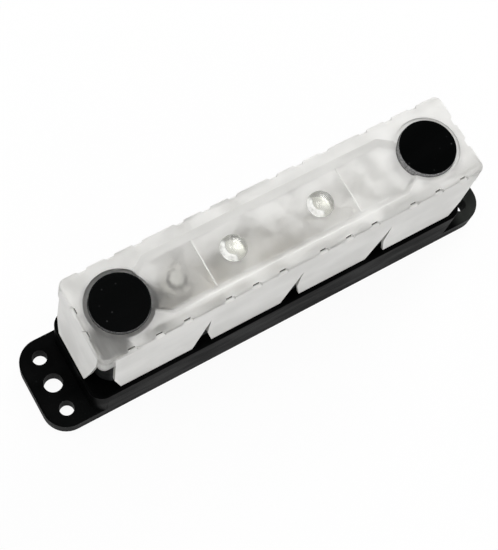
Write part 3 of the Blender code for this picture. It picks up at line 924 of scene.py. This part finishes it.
@dataclass
class Base:
    """Black moulding: flanges, platform, plinth and two round end posts."""

    hardware: Hardware
    half_x: float = 88.7 * MM
    half_y: float = 16.7 * MM
    flange_height: float = 7.6 * MM
    flange_radius: float = 8.7 * MM
    platform_x: float = 73.6 * MM
    platform_top: float = 23.8 * MM
    platform_radius: float = 5.0 * MM
    plinth_x: float = 69.0 * MM
    plinth_y: float = 12.9 * MM
    plinth_top: float = 44.0 * MM
    plinth_radius: float = 6.5 * MM
    plinth_roof: float = 8.3 * MM
    post_x: float = 57.0 * MM
    post_radius: float = 10.9 * MM
    post_top: float = 64.4 * MM
    post_edge: float = 0.45 * MM
    post_wall: float = 2.6 * MM
    shoulder: float = 59.3 * MM
    cap_radius: float = 9.75 * MM
    hole_x: float = 80.9 * MM
    hole_pitch: float = 10.0 * MM
    outer_hole: float = 2.6 * MM
    middle_hole: float = 3.35 * MM
    pocket_flats: float = 10.6 * MM
    head_room: float = 4.3 * MM
    wall: float = 3.0 * MM
    platform_core: float = 3.0 * MM
    plinth_core: float = 4.5 * MM
    edge: float = 0.7 * MM
    fine_edge: float = 0.22 * MM

    def block(self, name: str, half: Point, radius: float, low: float, high: float) -> Solid:
        """Rounded block with its top edge rounded over."""
        rings: list[Ring] = [(low, rounded(*half, radius))]
        for height, inset in quarter_round(high, self.edge, 4):
            rings.append((height, rounded(half[0] - inset, half[1] - inset, radius - inset)))
        return Solid.loft(name, rings)

    def post(self, side: int) -> Solid:
        """Round end post with a shoulder and a rounded cap."""
        profile = [(self.plinth_top - CUT, self.post_radius), (self.shoulder, self.post_radius),
                   (self.shoulder, self.cap_radius)]
        for height, inset in quarter_round(self.post_top, self.post_edge, 5):
            profile.append((height, self.cap_radius - inset))
        return Solid.turned("post", profile, LARGE, (side * self.post_x, 0.0))

    def cores(self) -> list[Solid]:
        """Hollows of the underside, the holes and the stud pockets."""
        wall, ceiling = self.wall, self.plinth_top - self.plinth_roof
        wide = rounded(self.platform_x - wall, self.half_y - wall, self.platform_core)
        narrow = rounded(self.plinth_x - wall, self.plinth_y - wall, self.plinth_core)
        tools = [Solid.prism("core", wide, -CUT, self.platform_top - wall),
                 Solid.prism("core", narrow, -CUT, ceiling)]
        for side in (-1, 1):
            tools.append(Solid.rod("core", self.post_radius - self.post_wall, (side * self.post_x, 0.0), -CUT,
                                   self.post_top - self.post_wall, MEDIUM))
            for row, radius in ((-1, self.outer_hole), (0, self.middle_hole), (1, self.outer_hole)):
                centre = (side * self.hole_x, row * self.hole_pitch)
                tools.append(Solid.rod("hole", radius, centre, -CUT, self.flange_height + CUT, MEDIUM))
        head_top = ceiling + self.head_room
        for x in self.hardware.places():
            pocket = hexagon(self.pocket_flats, (x, 0.0))
            tools.append(Solid.prism("pocket", pocket, ceiling - CUT, head_top + GAP))
            tools.append(Solid.rod("hole", self.hardware.stud_hole, (x, 0.0), head_top, self.plinth_top + CUT))
        return tools

    def build(self, material: Material) -> list[Object]:
        """Build and dress the moulding.

        Args:
            material: The black finish.

        Returns:
            The object.
        """
        foot, shelf, head = self.flange_height, self.platform_top, self.plinth_top
        body = self.block("base_moulding", (self.half_x, self.half_y), self.flange_radius, 0.0, foot)
        body.join(
            self.block("platform", (self.platform_x, self.half_y), self.platform_radius, foot - CUT, shelf),
            self.block("plinth", (self.plinth_x, self.plinth_y), self.plinth_radius, shelf - CUT, head),
            self.post(-1),
            self.post(1),
        )
        body.cut(*self.cores()).bevel(self.fine_edge, angle=50.0).smooth(30.0)
        return [body.dress(material, Slot.MOULDING, Body.BASE, "base")]


@dataclass
class TerminalBar:
    """Tinned bar that lies on the plinth."""

    hardware: Hardware
    half_x: float = 44.5 * MM
    half_y: float = 9.5 * MM
    corner: float = 2.0 * MM
    bottom: float = 44.3 * MM
    top: float = 47.3 * MM
    edge: float = 0.3 * MM

    def build(self, material: Material) -> list[Object]:
        """Build and dress the bar.

        Args:
            material: The tin finish.

        Returns:
            The object.
        """
        outline = rounded(self.half_x, self.half_y, self.corner, 6)
        bar = Solid.prism("terminal_bar", outline, self.bottom, self.top)
        bar.cut(*(Solid.rod("hole", self.hardware.stud_hole, (x, 0.0), self.bottom - CUT, self.top + CUT)
                  for x in self.hardware.places()))
        bar.bevel(self.edge, 3).smooth(30.0)
        return [bar.dress(material, Slot.BAR, Body.BASE, "bus_bar")]


@dataclass
class StudSet:
    """Threaded studs with their washers and nuts."""

    hardware: Hardware
    head: Span = (36.0 * MM, 40.0 * MM)
    head_edge: float = 0.25 * MM
    rod_sink: float = 0.2 * MM
    stud_top: float = 58.6 * MM
    flats: float = 10.0 * MM
    pitch: float = 1.0 * MM
    thread_depth: float = 0.5 * MM
    thread_start: float = 0.4 * MM
    thread_end: float = 0.8 * MM
    chamfer: float = 0.6 * MM
    washer: Span = (47.6 * MM, 49.2 * MM)
    washer_radius: float = 6.25 * MM
    washer_hole: float = 3.2 * MM
    washer_edge: float = 0.25 * MM
    spring: Span = (49.5 * MM, 51.1 * MM)
    spring_radius: float = 4.4 * MM
    spring_opening: float = math.radians(9.0)
    spring_rise: float = 0.12 * MM
    wire: tuple[float, float, float] = (1.2 * MM, 0.66 * MM, 0.18 * MM)
    nut_span: Span = (51.4 * MM, 56.4 * MM)
    nut_bore: float = 3.06 * MM
    nut_mouth: float = 3.6 * MM
    nut_sink: float = 0.55 * MM
    nut_edge: float = 0.08 * MM
    nut_sides: int = 72
    nut_over: Point = (0.05 * MM, 0.02 * MM)
    nut_chamfer: float = 0.6

    def thread(self, low: float, high: float) -> Solid:
        """Threaded rod with a small chamfer at its top.

        Args:
            low: Start of the thread.
            high: End of the thread.

        Returns:
            The solid.
        """
        radius, around, per_turn, start_share = self.hardware.stud_radius, 36, 8, 0.2
        rows = int((high - low) / self.pitch * per_turn)
        step = (high - low) / rows
        loops = []
        for row in range(rows + 1):
            height = low + step * row
            fade = min(1.0, (high - height) / self.thread_end, (height - low) / self.thread_start + start_share)
            limit = radius - max(0.0, self.chamfer - (high - height))
            loop = []
            for k in range(around):
                angle = 2 * math.pi * k / around
                turn = (height / self.pitch - k / around) % 1.0
                depth = self.thread_depth * (1 - abs(2 * turn - 1)) * fade
                r = min(radius - depth, limit)
                loop.append((r * math.cos(angle), r * math.sin(angle), height))
            loops.append(loop)
        return Solid.skin("rod", loops)

    def stud(self, number: int, x: float, material: Material) -> Object:
        """Stud with a hexagon head and a rolled thread."""
        low, high = self.head
        head = Solid.prism(f"threaded_stud_{number}", hexagon(self.flats), low, high)
        head.bevel(self.head_edge).join(self.thread(high - self.rod_sink, self.stud_top))
        head.obj.location = (x, 0.0, 0.0)
        return head.smooth(40.0).dress(material, Slot.STUD, Body.BASE, f"stud_{number}")

    def flat_washer(self, number: int, x: float, material: Material) -> Object:
        """Stamped washer with rounded rims."""
        low, high = self.washer
        washer = Solid.rod(f"stamped_washer_{number}", self.washer_radius, (0.0, 0.0), low, high, MEDIUM)
        washer.cut(Solid.rod("hole", self.washer_hole, (0.0, 0.0), low - CUT, high + CUT))
        washer.bevel(self.washer_edge, 3)
        washer.obj.location = (x, 0.0, 0.0)
        return washer.smooth(30.0).dress(material, Slot.WASHER, Body.BASE, f"flat_washer_{number}")

    def spring_washer(self, number: int, x: float, material: Material) -> Object:
        """Split washer of square wire, its two ends slightly apart in height."""
        steps, middle = 72, sum(self.spring) / 2
        start = -math.pi / 2 + self.spring_opening / 2
        span = 2 * math.pi - self.spring_opening
        loops = []
        for step in range(steps + 1):
            share = step / steps
            angle = start + span * share
            level = middle + self.spring_rise * (share - 0.5)
            loop = []
            for a, b in rounded(*self.wire, 3):
                r = self.spring_radius + a
                loop.append((r * math.cos(angle), r * math.sin(angle), level + b))
            loops.append(loop)
        washer = Solid.skin(f"split_washer_{number}", loops)
        washer.obj.location = (x, 0.0, 0.0)
        return washer.smooth(40.0).dress(material, Slot.SPRING, Body.BASE, f"spring_washer_{number}")

    def nut(self, number: int, x: float, material: Material) -> Object:
        """Hexagon nut with chamfered corners and a countersunk bore."""
        low, high = self.nut_span
        nut = Solid.prism(f"hex_nut_{number}", hexagon(self.flats), low, high)
        corner, flat = self.flats / math.sqrt(3) + self.nut_over[0], self.flats / 2 + self.nut_over[1]
        rise = (corner - flat) * self.nut_chamfer
        profile = [(low, flat), (low + rise, corner), (high - rise, corner), (high, flat)]
        envelope = Solid.turned("envelope", profile, self.nut_sides, phase=math.pi / self.nut_sides)
        nut.combine([envelope], Operation.COMMON)
        bore, mouth, sink = self.nut_bore, self.nut_mouth, self.nut_sink
        profile = [(low - CUT, mouth), (low, mouth), (low + sink, bore), (high - sink, bore), (high, mouth),
                   (high + CUT, mouth)]
        nut.cut(Solid.turned("bore", profile, SMALL))
        nut.bevel(self.nut_edge, angle=25.0)
        nut.obj.location = (x, 0.0, 0.0)
        return nut.smooth(30.0).dress(material, Slot.NUT, Body[f"NUT_{number}"], f"nut_{number}")

    def build(self, steel: Material, washer: Material, spring: Material,
              nut: Material) -> list[Object]:
        """Build and dress every stud's hardware.

        Args:
            steel: Finish of the studs.
            washer: Finish of the flat washers.
            spring: Finish of the split washers.
            nut: Finish of the nuts.

        Returns:
            The objects.
        """
        made = []
        for number, x in enumerate(self.hardware.places(), start=1):
            made.append(self.stud(number, x, steel))
            made.append(self.flat_washer(number, x, washer))
            made.append(self.spring_washer(number, x, spring))
            made.append(self.nut(number, x, nut))
        return made


@dataclass
class Cover:
    """Frosted cover: roof with recess, collars, flaps, perforations and two clear domes."""

    hardware: Hardware
    bottom: float = 24.1 * MM
    top: float = 63.0 * MM
    top_x: float = 71.0 * MM
    top_y: float = 15.15 * MM
    low_x: float = 73.1 * MM
    low_y: float = 15.3 * MM
    radius: float = 2.7 * MM
    edge: float = 0.7 * MM
    wall: float = 1.2 * MM
    post_x: float = 57.0 * MM
    bore: float = 11.2 * MM
    mouth: float = 9.95 * MM
    rim_depth: float = 0.5 * MM
    collar_wall: float = 1.1 * MM
    collar_bottom: float = 47.0 * MM
    fine_edge: float = 0.16 * MM
    recess_depth: float = 2.2 * MM
    recess_fillet: float = 0.5 * MM
    recess_y: float = 8.6 * MM
    recess_slope: float = 0.98
    bend_x: float = 43.5 * MM
    neck_x: float = 50.2 * MM
    neck_y: float = 4.2 * MM
    plate_x: float = 27.0 * MM
    line_foot: Point = (0.28 * MM, 0.4 * MM)
    line_head: Point = (0.16 * MM, 0.3 * MM)
    dome_radius: float = 4.55 * MM
    dome_play: float = 0.02 * MM
    dome_height: float = 3.2 * MM
    dome_steps: int = 22
    seam_foot: float = 0.5 * MM
    seam_turn: float = math.radians(60.0)
    seam_shift: float = -0.5 * MM
    seam_width: float = 0.45 * MM
    seam_height: float = 0.14 * MM
    flaps: int = 4
    start_x: float = 66.1 * MM
    last_x: float = 67.6 * MM
    pitch: float = 34.45 * MM
    inner_x: float = 69.0 * MM
    inner_y: float = 12.9 * MM
    kink_rise: float = 11.9 * MM
    kink: float = 2.6 * MM
    slant: float = 4.8 * MM
    notch_fall: float = 13.0 * MM
    corner_fall: float = 8.5 * MM
    end_left: Span = (4.75 * MM, 2.75 * MM)
    end_right: Span = (7.75 * MM, 5.25 * MM)
    end_rise: float = 13.4 * MM
    slot_centre: float = 15.4 * MM
    slot_pitch: float = 9.75 * MM
    slot_length: float = 2.3 * MM
    slot_mouth: float = 4.0 * MM
    slot_depth: float = 1.1 * MM
    slot_fall: float = 3.4 * MM
    slot_blade: float = 1.05 * MM
    end_slot_y: float = 4.3 * MM

    @property
    def floor(self) -> float:
        """Height of the recess floor."""
        return self.top - self.recess_depth

    def section(self, z: float, inset: float = 0.0) -> Ring:
        """Outline of the wall at a height."""
        share = (z - self.bottom) / (self.top - self.bottom)
        half_x = self.low_x + (self.top_x - self.low_x) * share - inset
        half_y = self.low_y + (self.top_y - self.low_y) * share - inset
        return z, rounded(half_x, half_y, self.radius - min(inset, self.wall), 8)

    def recess_outline(self, grow: float) -> Outline:
        """Outline of the recess, widened sideways."""
        y, neck, bend, end = self.recess_y + grow, self.neck_y + grow, self.bend_x, self.neck_x
        return [(end, -neck), (end, neck), (bend, y), (-bend, y), (-end, neck), (-end, -neck), (-bend, -y),
                (bend, -y)]

    def recess(self, floor: float, grow: float, fillet: float = 0.0) -> Solid:
        """Tool for the long recess between the collars, its sides sloping outwards.

        Args:
            floor: Height of its floor.
            grow: How much wider than the recess itself.
            fillet: Rounding between the floor and the sides.

        Returns:
            The tool.
        """
        rings: list[Ring] = []
        if fillet:
            rings.append((floor, self.recess_outline(grow - fillet)))
            rings.append((floor + fillet * 0.25, self.recess_outline(grow - fillet * 0.2)))
        foot = fillet * 0.7
        high = self.top + CUT
        rings.append((floor + foot, self.recess_outline(grow + self.recess_slope * foot)))
        rings.append((high, self.recess_outline(grow + self.recess_slope * (high - floor))))
        return Solid.loft("recess", rings)

    def long_openings(self) -> list[Outline]:
        """Notches and corner openings of a long wall seen from outside, as (along, height)."""
        below, foot = self.bottom - CUT, self.bottom
        kink_z, corner_top = foot + self.kink_rise, self.top - self.corner_fall
        outer, kink, slant = self.low_x + CUT, self.kink, self.slant
        profiles: list[Outline] = []
        for k in range(1, self.flaps):
            left = -self.start_x + self.pitch * k
            profiles.append([(left - slant, below), (left + kink, below), (left + kink, foot), (left, kink_z),
                             (left, self.top - self.notch_fall), (left - slant, foot)])
        first, last = -self.start_x, self.last_x
        profiles.append([(-outer, below), (first + kink, below), (first + kink, foot), (first, kink_z),
                         (first, corner_top), (-outer, corner_top)])
        profiles.append([(last, below), (outer, below), (outer, corner_top), (self.top_x, corner_top),
                         (last, foot)])
        return profiles

    def end_openings(self) -> list[Outline]:
        """Corner openings of an end wall seen from outside, as (along, height)."""
        below, foot = self.bottom - CUT, self.bottom
        kink_z, corner_top = foot + self.kink_rise, self.top - self.corner_fall
        outer = self.low_y + CUT
        kink, start = (self.top_y - inset for inset in self.end_left)
        low, mid = (self.top_y - inset for inset in self.end_right)
        return [
            [(-outer, below), (-kink, below), (-kink, foot), (-start, kink_z), (-start, corner_top),
             (-outer, corner_top)],
            [(outer, below), (low, below), (low, foot), (mid, foot + self.end_rise),
             (self.top_y - self.radius, corner_top), (outer, corner_top)],
        ]

    def openings(self) -> list[Solid]:
        """Tools for the notches between the flaps and at the corners."""
        tools: list[Solid] = []
        for side in (-1, 1):
            near, far = side * self.inner_y, side * (self.low_y + CUT)
            for profile in self.long_openings():
                tools.append(Solid.pushed("notch", [(-side * a, z) for a, z in profile], near, far, Across.Y))
            near, far = side * self.inner_x, side * (self.low_x + CUT)
            for profile in self.end_openings():
                tools.append(Solid.pushed("notch", [(side * a, z) for a, z in profile], near, far, Across.X))
        return tools

    def nick(self, face: float, middle: float, side: int, across: Across) -> list[Solid]:
        """Tools for one perforation of the bend: a flared nick with a sloping floor and a blade.

        Args:
            face: Place of the wall's face at its top.
            middle: Place of the perforation along the wall.
            side: -1 or 1, the way the wall faces.
            across: Axis that the wall runs along.

        Returns:
            The tools.
        """
        inner, outer = face - side * self.slot_depth, face + side * CUT
        half, flare = self.slot_length / 2, self.slot_mouth / 2 + CUT * 0.6
        floor, high = self.top - self.slot_depth, self.top + CUT
        loops = []
        for depth, wide, low in ((inner, half, floor), (outer, flare, self.top - self.slot_fall)):
            corners = [(-wide, low), (wide, low), (wide, high), (-wide, high)]
            if across is Across.X:
                loops.append([(middle + a, depth, z) for a, z in corners])
            else:
                loops.append([(depth, middle + a, z) for a, z in corners])
        nick = Solid.skin("nick", loops)
        lift, past = 0.2 * MM, 0.4 * MM
        reach = self.wall + self.slot_depth + past
        wide = self.slot_blade / math.sqrt(2)
        far = face - side * reach
        blade = [(inner + side * wide, floor + lift), (inner, floor + wide + lift),
                 (far, self.top - reach + wide), (far + side * wide, self.top - reach)]
        return [nick, Solid.pushed("blade", blade, middle - half, middle + half, across)]

    def perforations(self) -> list[Solid]:
        """Tools for every perforation along the bends."""
        tools: list[Solid] = []
        for side in (-1, 1):
            for k in range(self.flaps):
                for row in (-1, 0, 1):
                    x = side * (self.start_x - self.pitch * k - self.slot_centre - row * self.slot_pitch)
                    tools += self.nick(side * self.top_y, x, side, Across.X)
            for row in (-1, 1):
                tools += self.nick(side * self.top_x, row * self.end_slot_y, side, Across.Y)
        return tools

    def shell(self) -> Solid:
        """The one-piece shell, open where the domes sit."""
        rings = [self.section(self.bottom)]
        rings += [self.section(height, inset) for height, inset in quarter_round(self.top, self.edge, 5)]
        shell = Solid.loft("cover_shell", rings)
        shell.cut(self.recess(self.floor, 0.0, self.recess_fillet))
        (foot, sunk), (head, raised) = self.line_foot, self.line_head
        bars = [[(x - foot, self.floor - sunk), (x + foot, self.floor - sunk), (x + head, self.floor + raised),
                 (x - head, self.floor + raised)] for x in (-self.plate_x, self.plate_x)]
        shell.join(*(Solid.pushed("line", bar, -self.recess_y, self.recess_y, Across.Y) for bar in bars))

        ceiling, under = self.top - self.wall, self.floor - self.wall
        room = Solid.loft("room", [self.section(height, self.wall) for height in (self.bottom - CUT, ceiling)])
        slant = self.wall * (math.hypot(1.0, self.recess_slope) - self.recess_slope)
        keep, bores = [self.recess(under, slant)], []
        for side in (-1, 1):
            centre = (side * self.post_x, 0.0)
            tube = self.bore + self.collar_wall
            keep.append(Solid.rod("collar", tube, centre, self.collar_bottom, self.top, LARGE))
            bores.append(Solid.rod("bore", self.bore, centre, self.collar_bottom - CUT, under, LARGE))
            bores.append(Solid.rod("sink", self.bore, centre, self.top - self.rim_depth, self.top + CUT, LARGE))
            bores.append(Solid.rod("mouth", self.mouth, centre, under - CUT, self.top + CUT, LARGE))
            seat = (side * self.hardware.inner_x, 0.0)
            bores.append(Solid.rod("seat", self.dome_radius, seat, under - CUT, self.top + CUT, MEDIUM))
        room.cut(*keep)
        shell.cut(room)
        shell.cut(*bores, *self.openings())
        shell.cut(*self.perforations())
        return shell

    def dome(self, side: int) -> Solid:
        """Clear dome on a short spigot, with the fine ridge of its seam."""
        centre = (side * self.hardware.inner_x, 0.0)
        radius = self.dome_radius - self.dome_play
        turns = [math.pi / 2 * k / self.dome_steps for k in range(self.dome_steps)]
        profile = [(self.floor - self.wall, radius)]
        profile += [(self.floor + self.dome_height * math.sin(a), radius * math.cos(a)) for a in turns]
        name = "clear_dome_left" if side < 0 else "clear_dome_right"
        dome = Solid.turned(name, profile, LARGE, centre, self.seam_turn)
        for vertex in dome.obj.data.vertices:
            x, y = vertex.co.x - centre[0], vertex.co.y - centre[1]
            across = abs(x * math.sin(self.seam_turn) - y * math.cos(self.seam_turn) - self.seam_shift)
            if vertex.co.z > self.floor + self.seam_foot and across < self.seam_width:
                vertex.co.z += self.seam_height * (1 - across / self.seam_width)
        return dome

    def build(self, frosted: Material, clear: Material) -> list[Object]:
        """Build and dress the cover.

        Args:
            frosted: Finish of the shell.
            clear: Finish of the domes.

        Returns:
            The objects.
        """
        shell = self.shell()
        shell.bevel(self.fine_edge, angle=38.0).smooth(32.0)
        made = [shell.dress(frosted, Slot.COVER, Body.COVER, "cover")]
        for side in (-1, 1):
            made.append(self.dome(side).smooth(30.0).dress(clear, Slot.COVER, Body.COVER))
        return made


@dataclass(frozen=True)
class Lamp:
    """Soft box: where it stands, what it points at, its two sides and its watts."""

    name: str
    place: Place
    target: Place
    size: Point
    power: float

    def build(self) -> None:
        """Add it to the scene."""
        data = bpy.data.lights.new(self.name, "AREA")
        data.shape = "RECTANGLE"
        data.size, data.size_y = self.size
        data.energy = self.power
        obj = bpy.data.objects.new(self.name, data)
        bpy.context.scene.collection.objects.link(obj)
        obj.location = self.place
        obj.rotation_euler = (Vector(self.target) - Vector(self.place)).to_track_quat("-Z", "Y").to_euler()


@dataclass
class Studio:
    """Floor, world, lamps and the camera of the photograph."""

    focal_px: float = 1365.11
    width_px: float = 498.0
    sensor: float = 36.0
    location: tuple[float, float, float] = (-0.125523, -0.105256, 0.465138)
    right: tuple[float, float, float] = (0.8613122, -0.4946072, 0.1162109)
    up: tuple[float, float, float] = (0.4399027, 0.8404174, 0.3165189)
    back: tuple[float, float, float] = (-0.2542182, -0.2215001, 0.9414408)
    clip: Span = (0.01, 20.0)
    around: Colour = (0.78, 0.78, 0.78)
    overhead: Colour = (0.10, 0.10, 0.10)
    overhead_span: Span = (0.50, 0.92)
    floor_dark: Colour = (0.86, 0.86, 0.86)
    floor_light: Colour = (0.88, 0.88, 0.88)
    floor_half: float = 3.0
    floor_drop: float = 0.05 * MM
    floor_share: float = 0.94
    floor_mirrored: float = 0.4
    lamps: tuple[Lamp, ...] = (
        Lamp("back_right", (0.85, 0.60, 0.75), (0.05, 0.0, 0.04), (0.6, 0.6), 6.5),
        Lamp("above", (-0.15, 0.05, 1.15), (0.0, 0.0, 0.04), (0.8, 0.6), 6.0),
        Lamp("front", (-0.35, -1.0, 0.7), (0.0, 0.0, 0.03), (0.8, 0.6), 1.6),
    )

    def camera(self) -> None:
        """Place the camera."""
        data = bpy.data.cameras.new("camera")
        data.sensor_fit = "HORIZONTAL"
        data.sensor_width = self.sensor
        data.lens = self.focal_px * self.sensor / self.width_px
        data.clip_start, data.clip_end = self.clip
        obj = bpy.data.objects.new("camera", data)
        bpy.context.scene.collection.objects.link(obj)
        axes = Matrix((self.right, self.up, self.back)).transposed().to_4x4()
        obj.matrix_world = Matrix.Translation(self.location) @ axes
        bpy.context.scene.camera = obj

    def world(self) -> None:
        """Pale surroundings, dim overhead, that the camera sees as white."""
        world = bpy.data.worlds.new("studio")
        world.use_nodes = True
        bpy.context.scene.world = world
        graph = Graph(world.node_tree)
        upward = graph.axes("Generated")[2]
        colour = graph.tint(upward.ramp(*self.overhead_span), self.around, self.overhead)
        soft = graph.node("ShaderNodeBackground", {}, {"Color": colour, "Strength": 1.0})
        white = graph.node("ShaderNodeBackground", {}, {"Color": WHITE, "Strength": 1.0})
        graph.surface(graph.mixed(graph.seen(1.0), soft, white), "ShaderNodeOutputWorld")

    def floor(self) -> None:
        """Pale floor that keeps the object's shadow."""
        bm = bmesh.new()
        size = self.floor_half
        bm.faces.new([bm.verts.new((x, y, 0.0)) for x, y in (
            (-size, -size), (size, -size), (size, size), (-size, size))])
        floor = Solid("floor", bm)
        floor.obj.location.z = -self.floor_drop
        material, graph = new_graph("pale_floor")
        colour = graph.tint(graph.noise(25.0, 2.0), self.floor_dark, self.floor_light)
        paper = graph.node("ShaderNodeBsdfDiffuse", {}, {"Color": colour})
        glow = graph.node("ShaderNodeEmission", {}, {"Color": WHITE, "Strength": 1.0})
        graph.surface(graph.mixed(graph.seen(self.floor_mirrored) * self.floor_share, paper, glow))
        floor.obj.data.materials.append(material)

    def build(self) -> None:
        """Set up everything round the object."""
        bpy.context.scene.view_settings.view_transform = "Standard"
        self.camera()
        self.world()
        self.floor()
        for lamp in self.lamps:
            lamp.build()


def report(name: str, objects: Sequence[Object]) -> None:
    """Log the pieces of one sub-assembly."""
    for obj in objects:
        LOG.info("%s: %s, %d faces", name, obj.name, len(obj.data.polygons))


def main() -> None:
    """Build every sub-assembly in order."""
    logging.basicConfig(level=logging.INFO, format="%(name)s %(message)s")
    hardware = Hardware()
    Studio().build()
    report("base", Base(hardware).build(BlackMoulding().material("black_moulding_grain")))
    report("bar", TerminalBar(hardware).build(TIN.material("tin_plate")))
    studs = StudSet(hardware).build(
        STUD_STEEL.material("rolled_stud_steel"),
        WASHER_STEEL.material("stamped_washer_steel"),
        SPRING_STEEL.material("dark_spring_steel"),
        NUT_STEEL.material("bright_nut_steel"),
    )
    report("studs", studs)
    cover = Cover(hardware).build(
        FrostedPlastic().material("frosted_moulding"),
        ClearPlastic().material("clear_moulding"),
    )
    report("cover", cover)


if __name__ == "__main__":
    main()
